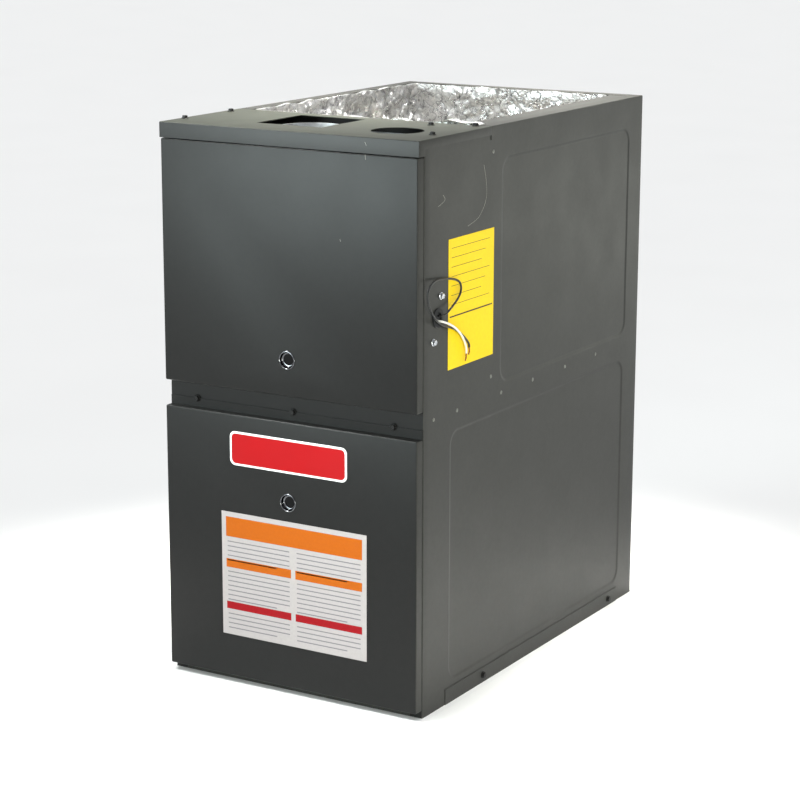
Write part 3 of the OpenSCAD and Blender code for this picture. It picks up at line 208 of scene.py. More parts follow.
def vary(tree, shader, place, socket, low, high, size, detail):
    """Lets a noise of that size in millimetres move a colour or a value between two limits."""
    value = cloud(tree, place, size, detail)
    coloured = isinstance(low, tuple)
    limits = {} if coloured else {"To Min": low, "To Max": high}
    spread = add(tree, "MapRange", {"Value": value, "From Min": 0.3, "From Max": 0.7, **limits})
    result = spread.outputs["Result"]
    if coloured:
        result = blend(tree, result, low, high)
    tree.links.new(result, shader.inputs[socket])
    return result


def add_bump(tree, shader, height, distance_mm):
    """Bump of that depth in millimetres, on top of any bump that the shader has."""
    bump = add(tree, "Bump", {"Height": height, "Distance": distance_mm * MM, "Strength": 1.0})
    socket = shader.inputs["Normal"]
    if socket.is_linked:
        tree.links.new(socket.links[0].from_socket, bump.inputs["Normal"])
    tree.links.new(bump.outputs["Normal"], socket)


# ---- objects ----
def placed(name, data):
    """A new object in the scene."""
    made = bpy.data.objects.new(name, data)
    bpy.context.scene.collection.objects.link(made)
    return made


def linked(piece, body, replaced=()):
    """Gives a finished piece its body and the nodes that it stands for."""
    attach(piece, body)
    if replaced:
        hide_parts(*replaced)


def smooth(mesh, angle=35):
    """Smooth shading, with edges sharper than the angle kept."""
    mesh.polygons.foreach_set("use_smooth", [True] * len(mesh.polygons))
    mesh.set_sharp_from_angle(angle=math.radians(angle))


def mesh_piece(name, bm, materials, angle=35):
    """A mesh object from a bmesh."""
    bmesh.ops.recalc_face_normals(bm, faces=bm.faces)
    mesh = bpy.data.meshes.new(name)
    bm.to_mesh(mesh)
    bm.free()
    for material in materials:
        mesh.materials.append(material)
    smooth(mesh, angle)
    return placed(name, mesh)


def apply_modifiers(piece):
    """Puts what the modifiers make into the piece's mesh."""
    bpy.context.view_layer.update()
    graph = bpy.context.evaluated_depsgraph_get()
    mesh = bpy.data.meshes.new_from_object(piece.evaluated_get(graph))
    old = piece.data
    piece.modifiers.clear()
    piece.data = mesh
    bpy.data.meshes.remove(old)
    smooth(mesh)


def add_box(bm, low, high):
    """Adds a closed box between two corners."""
    low, high = Vector(low), Vector(high)
    place = Matrix.Translation((low + high) / 2) @ Matrix.Diagonal((*(high - low), 1))
    bmesh.ops.create_cube(bm, size=1, matrix=place)


def add_rod(bm, start, end, radius, sides=48):
    """Adds a closed round rod between two points."""
    start, end = Vector(start), Vector(end)
    turn = (end - start).to_track_quat("Z", "Y").to_matrix().to_4x4()
    bmesh.ops.create_cone(bm, cap_ends=True, segments=sides, radius1=radius, radius2=radius,
                          depth=(end - start).length, matrix=Matrix.Translation((start + end) / 2) @ turn)


def cut_away(piece, bm):
    """Cuts the closed shapes in bm out of the piece."""
    bmesh.ops.recalc_face_normals(bm, faces=bm.faces)
    mesh = bpy.data.meshes.new("cutter")
    bm.to_mesh(mesh)
    bm.free()
    cutter = placed("cutter", mesh)
    modifier = piece.modifiers.new("Cut", "BOOLEAN")
    modifier.operation, modifier.solver, modifier.object = "DIFFERENCE", "EXACT", cutter
    apply_modifiers(piece)
    bpy.data.objects.remove(cutter)
    bpy.data.meshes.remove(mesh)


def take_in(piece, bm):
    """Adds the closed shapes in bm to the piece's mesh."""
    bm.from_mesh(piece.data)
    bmesh.ops.recalc_face_normals(bm, faces=bm.faces)
    bm.to_mesh(piece.data)
    bm.free()
    smooth(piece.data)


def pan(name, low, high, open_side, radius, materials):
    """A pan of bent sheet: a box without the side that open_side points to, its bends rounded."""
    bm = bmesh.new()
    add_box(bm, low, high)
    away = Vector(open_side)
    lid = [f for f in bm.faces if f.normal.dot(away) > 0.9]
    bmesh.ops.delete(bm, geom=lid, context="FACES")
    bends = [e for e in bm.edges if len(e.link_faces) == 2]
    bmesh.ops.bevel(bm, geom=bends, offset=radius, segments=4, profile=0.5, affect="EDGES",
                    clamp_overlap=True)
    piece = mesh_piece(name, bm, materials)
    thick = piece.modifiers.new("Sheet", "SOLIDIFY")
    thick.thickness, thick.offset, thick.use_even_offset = SHEET, -1, True
    apply_modifiers(piece)
    return piece


def fillet_line(corners, radius, stops=None, arc=5):
    """Points and outward normals along a bent sheet's outer line. Every corner turns to the
    right. stops gives, for a straight's number, extra distances from its start."""
    points = []
    count = len(corners)
    for i in range(count - 1):
        a, b = Vector(corners[i]), Vector(corners[i + 1])
        run = (b - a).normalized()
        normal = Vector((-run.y, run.x))
        start = a + run * radius if i else a
        end = b - run * radius if i < count - 2 else b
        points.append((start, normal))
        for distance in (stops or {}).get(i, ()):
            if radius * 1.5 < distance < (b - a).length - radius * 1.5:
                points.append((a + run * distance, normal))
        points.append((end, normal))
        if i < count - 2:
            after = (Vector(corners[i + 2]) - b).normalized()
            turned = Vector((-after.y, after.x))
            centre = b - (normal + turned) * radius
            for k in range(1, arc):
                t = math.pi / 2 * k / arc
                out = normal * math.cos(t) + turned * math.sin(t)
                points.append((centre + out * radius, out))
    return points


def closed_grid(bm, front, back):
    """Adds a closed solid between two grids of points, front and back, of the same form."""
    rows, columns = len(front), len(front[0])
    grids = [[[bm.verts.new(p) for p in row] for row in grid] for grid in (front, back)]
    a, b = grids
    faces = []
    for i in range(rows - 1):
        for j in range(columns - 1):
            faces.append((a[i][j], a[i + 1][j], a[i + 1][j + 1], a[i][j + 1]))
            faces.append((b[i][j], b[i][j + 1], b[i + 1][j + 1], b[i + 1][j]))
    for i in range(rows - 1):
        for j in (0, columns - 1):
            faces.append((a[i][j], b[i][j], b[i + 1][j], a[i + 1][j]))
    for j in range(columns - 1):
        for i in (0, rows - 1):
            faces.append((a[i][j], a[i][j + 1], b[i][j + 1], b[i][j]))
    for corners in faces:
        bm.faces.new(corners)
    bmesh.ops.remove_doubles(bm, verts=[v for grid in grids for row in grid for v in row], dist=1e-6)


def circle(radius, sides):
    """The points of a flat circle round the origin."""
    turns = [2 * math.pi * k / sides for k in range(sides)]
    return [(radius * math.cos(t), radius * math.sin(t)) for t in turns]


def join_rings(bm, rings, material=0, endless=False):
    """Adds a closed solid through rings of points: capped at both ends, or with its last ring
    joined to its first."""
    rings = [[bm.verts.new(point) for point in ring] for ring in rings]
    count = len(rings[0])
    faces = []
    for a, b in zip(rings, rings[1:] + (rings[:1] if endless else [])):
        for k in range(count):
            faces.append((a[k], a[(k + 1) % count], b[(k + 1) % count], b[k]))
    if not endless:
        faces += [rings[0][::-1], rings[-1]]
    for corners in faces:
        bm.faces.new(corners).material_index = material


def turn_profile(bm, profile, centre, sides=64):
    """Adds a closed solid turned about an axis that faces the doors' side. profile holds the
    radius and the depth behind the centre of each point, in millimetres."""
    join_rings(bm, [[(centre.x + x, centre.y + depth * MM, centre.z + z)
                     for x, z in circle(radius * MM, sides)] for radius, depth in profile],
               endless=True)


def ease(value):
    """A smooth step from 0 to 1."""
    t = min(1.0, max(0.0, value))
    return t * t * (3 - 2 * t)


def steps(low, high, dense, fine, coarse):
    """Places from low to high, fine inside the dense spans and coarse elsewhere."""
    places, here = [], low
    while here < high - fine / 2:
        places.append(here)
        ahead = [a for a, b in dense if here < a]
        inside = any(a - 1e-9 <= here < b for a, b in dense)
        step = fine if inside else coarse
        if not inside and ahead and here + step > min(ahead):
            step = max(min(ahead) - here, fine / 4)
        here += step
    return places + [high]


def round_plate(bm, centre, size, radius, front, back, material, bevel):
    """Adds an upright plate with round corners that faces the doors' side."""
    outline = []
    per_corner = 9
    for sx, sz, start in ((1, 1, 0), (-1, 1, 90), (-1, -1, 180), (1, -1, 270)):
        for k in range(per_corner):
            a = math.radians(start + k * 90 / (per_corner - 1))
            outline.append((sx * (size[0] / 2 - radius) + radius * math.cos(a),
                            sz * (size[1] / 2 - radius) + radius * math.sin(a)))
    join_rings(bm, [[(centre[0] + x - math.copysign(min(inset, abs(x)), x), y,
                      centre[1] + z - math.copysign(min(inset, abs(z)), z)) for x, z in outline]
                    for y, inset in ((back, 0.0), (front + bevel, 0.0), (front, bevel))], material)


# ---- finishes ----
def enamel(name, colour, roughness=(0.41, 0.45), **sockets):
    """Baked enamel on sheet steel: even and half glossy, with a fine orange peel, slow waves in
    the sheet and a faint cloudiness of handling."""
    material, tree, shader, place = new_material(name, colour, 0.42, **sockets)
    even = vary(tree, shader, place, "Base Color", shaded(colour, 0.9), shaded(colour, 1.1), 7, 6)
    soil = add(tree, "MapRange", {"Value": cloud(tree, place, 180, 3.0), "From Min": 0.35,
                                  "From Max": 0.7, "To Min": 0.0, "To Max": 0.2})
    soiled = blend(tree, soil.outputs["Result"], even, shaded(colour, 0.82))
    tree.links.new(soiled, shader.inputs["Base Color"])
    vary(tree, shader, place, "Roughness", *roughness, 60, 4)
    # real orange peel is about 1 mm across; it is drawn at 2.4 mm so that it shows
    add_bump(tree, shader, cloud(tree, place, 2.4, 3.0), 0.035)
    # the slow waves in the sheet
    add_bump(tree, shader, cloud(tree, place, 170, 1.0), 0.25)
    return material


def galvanised(name="galvanised_sheet", code="#a9adaf"):
    """Hot-dip galvanised sheet: a matt grey metal with spangles 8 mm across, each a little
    lighter or darker."""
    base = rgb(code)
    material, tree, shader, place = new_material(name, base, 0.4, Metallic=1.0)
    spangle = add(tree, "TexVoronoi", {"Vector": place, "Scale": per_mm(8)}, feature="F1")
    grey = add(tree, "SeparateColor", {"Color": spangle.outputs["Color"]})
    spangled = blend(tree, grey.outputs["Red"], shaded(base, 0.8), shaded(base, 1.12))
    tree.links.new(spangled, shader.inputs["Base Color"])
    spread = add(tree, "MapRange", {"Value": grey.outputs["Green"], "To Min": 0.3, "To Max": 0.5})
    tree.links.new(spread.outputs["Result"], shader.inputs["Roughness"])
    add_bump(tree, shader, grey.outputs["Blue"], 0.05)
    return material


def crinkled_foil(colour):
    """Thin bright foil on glass fibre: a soft mirror, broken by fine sharp creases, with painted shade
    that darkens the creases' lines against the flat bits between them."""
    material, tree, shader, place = new_material("crinkled_foil", colour, 0.3, Metallic=1.0)
    tint_with_crease_shade = colour
    # each size of crease in millimetres, its depth and how dark the painted shade along its line is drawn
    for size, depth, dark in ((38, 0.8, 0.6), (17, 0.5, 0.6), (7, 0.25, 0.5)):
        bent = add(tree, "TexNoise", {"Vector": place, "Scale": per_mm(size), "Detail": 2.0,
                                      "Distortion": 0.5})
        centred = add(tree, "Math", {0: bent.outputs["Fac"], 1: 0.5}, operation="SUBTRACT")
        folded = add(tree, "Math", {0: centred.outputs["Value"]}, operation="ABSOLUTE")
        groove = add(tree, "MapRange", {"Value": folded.outputs["Value"], "From Max": 0.06})
        add_bump(tree, shader, groove.outputs["Result"], depth)
        # painted shade: the foil's colour turns grey along each crease's line
        line = add(tree, "MapRange", {"Value": folded.outputs["Value"], "From Max": 0.022,
                                      "To Min": dark, "To Max": 0.0})
        tint_with_crease_shade = blend(tree, line.outputs["Result"], tint_with_crease_shade, rgb("#5e5e61"))
    tree.links.new(tint_with_crease_shade, shader.inputs["Base Color"])
    vary(tree, shader, place, "Roughness", 0.23, 0.38, 14, 3)
    return material


# Each plain finish: colour, roughness and other even values, then what varies (a socket, its two
# limits, the size in millimetres and the detail of the noise), then bump (size, detail, depth)
FINISHES = {
    # rivet heads in the cabinet's paint: a half metallic grey lighter than the enamel, a painted
    # highlight that makes the domes show as light dots
    "rivet_painted_glint": ("#70716b", 0.4, {"Metallic": 0.5}, (
        ("Base Color", "#5d5e59", "#85867f", 2.5, 3), ("Roughness", 0.3, 0.5, 2, 3)), ()),
    # aluminised steel that has been fired: dull silver with straw and blue heat tints
    "aluminised_steel": ("#9b9a96", 0.45, {"Metallic": 1.0}, (
        ("Base Color", "#a39f94", "#86878c", 45, 4), ("Roughness", 0.38, 0.58, 12, 4)), ()),
    # sand-cast aluminium: pale, matt and finely pitted
    "cast_aluminium": ("#b4b6b8", 0.5, {"Metallic": 1.0}, (
        ("Roughness", 0.42, 0.62, 3, 3),), (1.8, 4.0, 0.12)),
    # black iron pipe: mill scale, brown-black and slightly rough
    "black_iron_pipe": ("#2c2b2b", 0.5, {"IOR": 1.6}, (
        ("Base Color", "#232222", "#3b3633", 7, 5), ("Roughness", 0.4, 0.6, 5, 4)), ()),
    # brass turned on a lathe: warm yellow with a little tarnish
    "turned_brass": ("#c9a24e", 0.25, {"Metallic": 1.0}, (
        ("Base Color", "#c9a24e", "#a98546", 4, 3), ("Roughness", 0.2, 0.36, 2, 2)), ()),
    # bright zinc plate on a screw: silver with a faint milky bloom
    "zinc_plate": ("#cfd2d6", 0.22, {"Metallic": 1.0}, (("Roughness", 0.17, 0.34, 1.5, 3),), ()),
    # black nickel on a pressed bezel: a dark mirror with faint rubbed marks
    "black_nickel": ("#66676a", 0.1, {"Metallic": 1.0}, (
        ("Roughness", 0.07, 0.16, 3, 3), ("Base Color", "#5b5c5f", "#737477", 6, 3)), ()),
    # black phosphate on a driven screw: near black, worn grey in spots by the nut driver
    "black_phosphate": ("#131312", 0.42, {"Specular_IOR_Level": 0.25}, (
        ("Base Color", "#0d0d0d", "#1f1e1d", 1.8, 4), ("Roughness", 0.3, 0.52, 1.5, 3)), ()),
    # unglazed steatite: off-white ceramic, matt, a little light passing into it
    "steatite_ceramic": ("#ddd6c6", 0.7, {"Subsurface_Weight": 0.1, "Subsurface_Scale": 1.5 * MM}, (
        ("Base Color", "#e2dccd", "#cdc3ae", 5, 4),), ()),
    # dark brush-coated enamel on a motor shell, half glossy over a rough ground
    "motor_enamel": ("#33363a", 0.4, {"IOR": 1.5}, (
        ("Base Color", "#2c2f33", "#3d4044", 22, 4), ("Roughness", 0.3, 0.5, 10, 3)),
        (3, 3.0, 0.06)),
    # a flat borosilicate glass over a dark compartment, clear in itself: its near black colour is painted
    # shade of the compartment behind it, and it looks wet
    "borosilicate_glass": ("#08090a", 0.06, {"IOR": 1.3}, (("Roughness", 0.04, 0.1, 6, 2),), ()),
}


def finish(name):
    """The plain finish of that name."""
    code, roughness, sockets, varied, bump = FINISHES[name]
    material, tree, shader, place = new_material(name, rgb(code), roughness, **sockets)
    for socket, low, high, size, detail in varied:
        if isinstance(low, str):
            low, high = rgb(low), rgb(high)
        vary(tree, shader, place, socket, low, high, size, detail)
    if bump:
        size, detail, depth = bump
        add_bump(tree, shader, cloud(tree, place, size, detail), depth)
    return material


def rolled_steel(name, code, low, high):
    """Bare steel, rolled or turned: grey with fine marks drawn out along its length."""
    material, tree, shader, place = new_material(name, rgb(code), low, Metallic=1.0)
    drawn = add(tree, "Mapping", {"Vector": place, "Scale": (0.06, 1.0, 1.0)})
    vary(tree, shader, drawn.outputs["Vector"], "Roughness", low, high, 1.2, 3)
    vary(tree, shader, place, "Base Color", shaded(rgb(code), 0.9), shaded(rgb(code), 1.08), 20, 3)
    return material


def moulded(name, code, roughness, grain=1.2, depth=0.04):
    """An injection moulded plastic: one colour through, a fine spark-eroded grain."""
    colour = rgb(code)
    material, tree, shader, place = new_material(name, colour, roughness, IOR=1.49)
    vary(tree, shader, place, "Base Color", shaded(colour, 0.94), shaded(colour, 1.06), 15, 3)
    vary(tree, shader, place, "Roughness", roughness - 0.06, roughness + 0.08, 6, 3)
    add_bump(tree, shader, cloud(tree, place, grain, 2.0), depth)
    return material


def solder_mask():
    """A printed circuit board: green lacquer with lighter copper tracks under it, and dark
    relay cases on the side that faces the door."""
    low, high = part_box("control_board")
    material, tree, shader, place = new_material("green_solder_mask", rgb("#1d5a34"), 0.3, IOR=1.55)
    tracks = add(tree, "TexBrick", {"Vector": place, "Color1": rgb("#1b5230"), "Color2": rgb("#205f38"),
                                    "Mortar": rgb("#3f8a58"), "Scale": per_mm(9), "Mortar Size": 0.03})
    axes = add(tree, "SeparateXYZ", {"Vector": place})
    proud = add(tree, "Math", {0: axes.outputs["Y"], 1: low.y + 0.72 * (high.y - low.y)},
                operation="LESS_THAN")
    board = blend(tree, proud.outputs["Value"], tracks.outputs["Color"], rgb("#1c1d20"))
    tree.links.new(board, shader.inputs["Base Color"])
    return material


def copper():
    """Bare copper strands, whose colour goes from bright to browner copper in small patches."""
    material, tree, shader, place = new_material(
        "bare_copper", bpy.context.scene.furnace_wires.copper, 0.28, Metallic=1.0)
    vary(tree, shader, place, "Base Color", rgb("#b87350"), rgb("#8d4c2d"), 3, 3)
    return material


def printed_sheet(name, colour, roughness=0.4):
    """Coated paper or film with flat ink: even, with faint fibre and a low gloss."""
    material, tree, shader, place = new_material(name, colour, roughness, IOR=1.48,
                                                 Specular_IOR_Level=0.2)
    vary(tree, shader, place, "Base Color", shaded(colour, 0.96), shaded(colour, 1.03), 4, 5)
    # the sheet isn't quite flat
    add_bump(tree, shader, cloud(tree, place, 40, 2.0), 0.5)
    return material


# ---- stage ----
def add_light(name, place, aim, size, power, colour, spread):
    """A softbox of that width and height at place, turned to aim. spread is the angle that its
    grid leaves open, in degrees."""
    light = bpy.data.lights.new(name, "AREA")
    light.shape, (light.size, light.size_y), light.spread = "RECTANGLE", size, math.radians(spread)
    light.energy, light.color = power, rgb(colour)[:3]
    lamp = placed(name, light)
    lamp.location = place
    lamp.rotation_mode = "QUATERNION"
    lamp.rotation_quaternion = (Vector(aim) - Vector(place)).to_track_quat("-Z", "Y")
    lamp.visible_camera = False


class BuildStage(bpy.types.Operator):
    """Makes the camera, the soft studio lights and the plain pale floor."""

    bl_idname = "furnace.stage"
    bl_label = "Stage"

    def execute(self, context):
        scene, settings = context.scene, context.scene.furnace_stage
        a, e, roll = settings.azimuth, settings.elevation, settings.roll
        back = Vector((math.sin(a) * math.cos(e), -math.cos(a) * math.cos(e), math.sin(e)))
        side = (-back).cross(Vector((0, 0, 1))).normalized()
        up = side.cross(-back)
        right = side * math.cos(roll) + up * math.sin(roll)
        above = up * math.cos(roll) - side * math.sin(roll)
        data = bpy.data.cameras.new("photo_camera")
        data.lens, data.sensor_width, data.clip_end = settings.lens, 36, 200
        camera = placed("photo_camera", data)
        turn = Matrix((right, above, back)).transposed().to_4x4()
        camera.matrix_world = Matrix.Translation(settings.camera_place) @ turn
        scene.camera = camera
        scene.view_settings.view_transform = "Standard"

        world = bpy.data.worlds.new("pale_room")
        scene.world = world
        world.use_nodes = True
        room = world.node_tree.nodes["Background"]
        room.inputs["Color"].default_value = rgb("#f4f6f8")
        room.inputs["Strength"].default_value = settings.room_light

        half = 40  # half of the floor's width
        floor_mesh = bpy.data.meshes.new("floor")
        floor_mesh.from_pydata([(-half, -half, 0), (half, -half, 0), (half, half, 0),
                                (-half, half, 0)], [], [(0, 1, 2, 3)])
        material, tree, shader, place = new_material("pale_floor", settings.floor, 0.7)
        vary(tree, shader, place, "Roughness", 0.62, 0.78, 400, 2)
        floor_mesh.materials.append(material)
        floor = placed("floor", floor_mesh)

        # each softbox: where it is, what it faces, its size, power, colour and spread
        for name, *values in (
                ("top", (0.05, 0.26, 1.75), (-0.01, 0.12, 0.85), (0.35, 0.7), 12.5, "#fffdf6", 48),
                ("door", (-0.98, -2.5, 0.96), (0.1, -0.36, 0.77), (2.0, 0.85), 8.2, "#f0ffff", 50),
                ("front_top", (-1.0, -0.85, 2.05), (0, -0.36, 0.45), (0.9, 0.4), 3, "#fafffd", 35),
                ("edge", (2.35, -1.65, 0.45), (0.22, -0.35, 0.45), (0.4, 0.9), 3, "#fbfff0", 50),
                ("side", (1.9, 3.6, 0.15), (0.22, 0.3, 0.6), (1.0, 0.3), 0.5, "#fbfff0", 50)):
            add_light(f"{name}_softbox", *values)
        sky = bpy.data.lights.new("ceiling", "SUN")
        sky.energy, sky.angle = 1.25, math.radians(40)
        placed("ceiling", sky)
        return {"FINISHED"}


# ---- supply wires ----
def smooth_route(points_mm, parts=8):
    """A smooth curve through given points, in metres."""
    points = [Vector(p) * MM for p in points_mm]
    made = []
    for i in range(len(points) - 1):
        p0, p1, p2 = points[max(i - 1, 0)], points[i], points[i + 1]
        p3 = points[min(i + 2, len(points) - 1)]
        for k in range(parts):
            t = k / parts
            made.append(0.5 * (2 * p1 + (p2 - p0) * t + (2 * p0 - 5 * p1 + 4 * p2 - p3) * t ** 2
                               + (3 * p1 - p0 - 3 * p2 + p3) * t ** 3))
    return made + [points[-1]]


def round_line(name, lines, radius, material, sides=6):
    """A curve object of one round line or several."""
    curve = bpy.data.curves.new(name, "CURVE")
    curve.dimensions, curve.bevel_depth, curve.bevel_resolution = "3D", radius, sides
    curve.use_fill_caps = True
    for line in lines:
        spline = curve.splines.new("POLY")
        spline.points.add(len(line) - 1)
        for point, place in zip(spline.points, line):
            point.co = (*place, 1)
    curve.materials.append(material)
    return placed(name, curve)


def strands(route, bundle, strand_radius, count=6, twist=1.4):
    """The lines of a stranded conductor: one in the middle and the rest laid round it with that
    many turns. Towards the cut end some stand out and some lie closer."""
    lines = [route]
    walked = [0.0]
    for a, b in zip(route, route[1:]):
        walked.append(walked[-1] + (b - a).length)
    for n in range(count):
        line = []
        for i, point in enumerate(route):
            along = (route[min(i + 1, len(route) - 1)] - route[max(i - 1, 0)]).normalized()
            side = along.cross(Vector((1, 0, 0))).normalized()
            other = along.cross(side)
            share = walked[i] / walked[-1]
            angle = 2 * math.pi * (n / count + twist * share)
            spread = (bundle - strand_radius) * (1 + 0.25 * share * ((n * 7) % 3 - 1))
            line.append(point + (side * math.cos(angle) + other * math.sin(angle)) * spread)
        lines.append(line)
    return lines


class BuildWires(bpy.types.Operator):
    """Lays the black and the white supply wire from their bushing, with bare twisted ends."""

    bl_idname = "furnace.wires"
    bl_label = "Supply wires"

    # The routes are those of the model's source, in millimetres
    black_route = (
        (221.25, -305, 594), (223.5, -305, 594), (225.8, -305, 594), (229, -301.8, 595.6),
        (230.4, -295, 598), (230.2, -285.5, 601.6), (229, -273.3, 606.3), (228, -261.5, 611.6),
        (227.4, -253, 618), (227, -249.5, 626), (226.8, -253, 634.5), (226.6, -265, 640.5),
        (226.6, -284.3, 644.7), (227.4, -304, 647.4), (229, -323, 648.6), (231, -339.5, 646.4),
        (232.5, -350.5, 640.5), (233, -355, 632), (232.5, -352.5, 621.5), (231.5, -345, 610.5),
        (230, -333.5, 599.2), (228, -319, 588.8), (226.4, -301.4, 580.4), (225.6, -282.7, 574.5),
        (225.2, -266, 568.8), (225, -249.2, 560.6), (225, -234.9, 551), (225, -224.7, 542.6),
        (225, -221.1, 537.9), (225, -220.75, 535.75), (225, -220.4, 533.6))
    white_route = (
        (221.25, -309.5, 587.5), (223.5, -309.5, 587.5), (225.8, -309.5, 587.5),
        (229.6, -307.6, 586.8), (231.4, -301.5, 584.6), (231.4, -292, 581.2), (230.8, -280, 576),
        (230.2, -267.5, 569.3), (229.6, -256, 561.2), (229, -246, 552.3), (228.4, -238.8, 543),
        (227.8, -234.4, 535), (227.2, -232.9, 530.5), (227.1, -232.8, 528.8), (227, -232.7, 527.1))
    black_end = ((225, -220.4, 533.6), (225, -220.05, 531.45), (225, -219.7, 529.3),
                 (225, -220.1, 526.3), (225, -222.4, 523.3))
    white_end = ((227, -232.7, 527.1), (226.9, -232.6, 525.4), (226.8, -232.5, 523.7),
                 (226.6, -232.5, 520.1), (226.2, -233.9, 516.1))
    black_length = 0.369
    white_length = 0.110
    bundle_radius = 1.05 * MM

    def execute(self, context):
        settings = context.scene.furnace_wires
        metal = copper()
        for tone, colour, route, end, length in (
                ("black", settings.black, self.black_route, self.black_end, self.black_length),
                ("white", settings.white, self.white_route, self.white_end, self.white_length)):
            # PVC insulation: smooth and half glossy, extruded over the strands
            cover, tree, shader, place = new_material(f"pvc_{tone}", colour, 0.34, IOR=1.53)
            vary(tree, shader, place, "Roughness", 0.28, 0.42, 9, 3)
            wire = round_line(f"{tone}_wire", [smooth_route(route)], settings.radius, cover)
            linked(wire, "cabinet", [f"supply_wire_{tone}"])
            tips = round_line(f"{tone}_wire_strands",
                              strands(smooth_route(end, 5), self.bundle_radius,
                                      settings.strand_radius),
                              settings.strand_radius, metal, 3)
            linked(tips, "cabinet", ["bare_wire_ends"])
        return {"FINISHED"}


# ---- cabinet ----
def door_enamel(settings):
    """The doors' glossier enamel, made once."""
    return bpy.data.materials.get("door_enamel") or enamel(
        "door_enamel", settings.doors, (0.385, 0.415), Specular_IOR_Level=0.225)


def rounded_distance(y, z, field_y, field_z, corner):
    """How far a point of the side lies outside a field's rounded outline."""
    half = (field_y[1] - field_y[0]) / 2, (field_z[1] - field_z[0]) / 2
    dy = abs(y - (field_y[0] + field_y[1]) / 2) - half[0] + corner
    dz = abs(z - (field_z[0] + field_z[1]) / 2) - half[1] + corner
    return math.hypot(max(dy, 0), max(dz, 0)) + min(max(dy, dz), 0) - corner


class BuildCabinet(bpy.types.Operator):
    """Bends the cabinet's wrap: sides with pressed fields, back, returns and the supply rim."""

    bl_idname = "furnace.cabinet"
    bl_label = "Cabinet wrap"

    # The pressed fields: front and back edges, then lower and upper edges
    fields = (((-116.65, 311.35), (460.5, 798)), ((-266.35, 306.35), (35.5, 415.5)))

    # The cutters of the gas pipe's hole and the bushing's: where they start, and their radius
    holes = ((-0.25, -0.3, 0.59, 22 * MM), (0.2, -0.307, 0.591, 11 * MM))
    # Spacing of the sides' points round the fields' edges and elsewhere
    grid = 1.6 * MM, 16 * MM

    def dense_spans(self, axis, shift):
        """The spans round the fields' edges: a little way out of a field and its corner within."""
        outside, inside = 6 * MM, 27 * MM
        spans = set()
        for field in self.fields:
            first, last = (v * MM + shift for v in field[axis])
            spans |= {(first - outside, first + inside), (last - inside, last + outside)}
        return sorted(spans)

    def depth(self, y, z, settings):
        """How far the side is pressed in at a point."""
        deepest = 0.0
        for field_y, field_z in self.fields:
            distance = rounded_distance(y, z, [v * MM for v in field_y], [v * MM for v in field_z],
                                        settings.field_corner)
            deepest = max(deepest, ease(0.5 - distance / settings.field_slope))
        return deepest * settings.field_depth

    def execute(self, context):
        settings = context.scene.furnace_panels
        radius, rim = settings.bend_radius, settings.rim_width
        edge = WALL_X - settings.return_width - SHEET
        corners = [(-edge, FRAME_Y), (-WALL_X, FRAME_Y), (-WALL_X, BACK_Y), (WALL_X, BACK_Y),
                   (WALL_X, FRAME_Y), (edge, FRAME_Y)]
        depth = BACK_Y - FRAME_Y
        along = steps(0, depth, self.dense_spans(0, -FRAME_Y), *self.grid)
        stops = {1: along, 3: sorted(depth - v for v in along)}
        line = fillet_line(corners, radius, stops)
        wall_top = CAB_TOP - radius
        heights = steps(WRAP_LOW.z, wall_top, self.dense_spans(1, 0), *self.grid)
        front, back = [], []
        for point, out in line:
            outer, inner = [], []
            side = abs(abs(point.x) - WALL_X) < 1e-6 and abs(out.y) < 1e-6
            for z in heights:
                face = point - out * (self.depth(point.y, z, settings) if side else 0.0)
                behind = face - out * SHEET
                outer.append((face.x, face.y, z))
                inner.append((behind.x, behind.y, z))
            front.append(outer)
            back.append(inner)
        bm = bmesh.new()
        closed_grid(bm, front, back)
        wrap = mesh_piece("cabinet_shell", bm, [
            enamel("cabinet_enamel", settings.cabinet, Specular_IOR_Level=0.28), door_enamel(settings)])
        # the returns' faces toward the doors take the doors' darker enamel: painted shade, so that where
        # they show between the doors they are as dark as the shaded rail there
        for face in wrap.data.polygons:
            face.material_index = 1 if face.normal.y < -0.9 and face.center.y < 0 else 0
        holes = bmesh.new()
        for x, y, z, hole_radius in self.holes:
            add_rod(holes, (x, y, z), (x + 50 * MM, y, z), hole_radius)
        cut_away(wrap, holes)
        bm = bmesh.new()
        start, end = BURNER_BACK_Y, BACK_Y - radius
        inner_x = WALL_X - rim
        lip = CAB_TOP - settings.lip_depth
        left = fillet_line([(-WALL_X, wall_top), (-WALL_X, CAB_TOP), (-inner_x, CAB_TOP),
                            (-inner_x, lip)], radius)
        right = fillet_line([(inner_x, CAB_TOP), (WALL_X, CAB_TOP), (WALL_X, wall_top)], radius)
        rear = fillet_line([(BACK_Y - rim, lip), (BACK_Y - rim, CAB_TOP), (BACK_Y, CAB_TOP),
                            (BACK_Y, wall_top)], radius)
        strip_x, strip_gap = WALL_X - SHEET - settings.strip_width, 13 * MM
        under = CAB_TOP - SHEET
        strip = fillet_line([(strip_x, lip), (strip_x, under), (WALL_X - 2 * SHEET, under)], radius)
        # each bent edge: its line, where it starts and ends, and whether it runs along Y
        for profile, low, high, runs_y in ((left, start, end, True), (right, start, end, True),
                                           (strip, start + strip_gap, BACK_Y - rim, True),
                                           (rear, -inner_x, inner_x, False)):
            ends = [low, high]
            place = (lambda p, t: (p.x, t, p.y)) if runs_y else (lambda p, t: (t, p.x, p.y))
            closed_grid(bm, [[place(p, t) for t in ends] for p, n in profile],
                        [[place(p - n * SHEET, t) for t in ends] for p, n in profile])
        take_in(wrap, bm)
        linked(wrap, "cabinet", ["cabinet_wrap"])
        return {"FINISHED"}


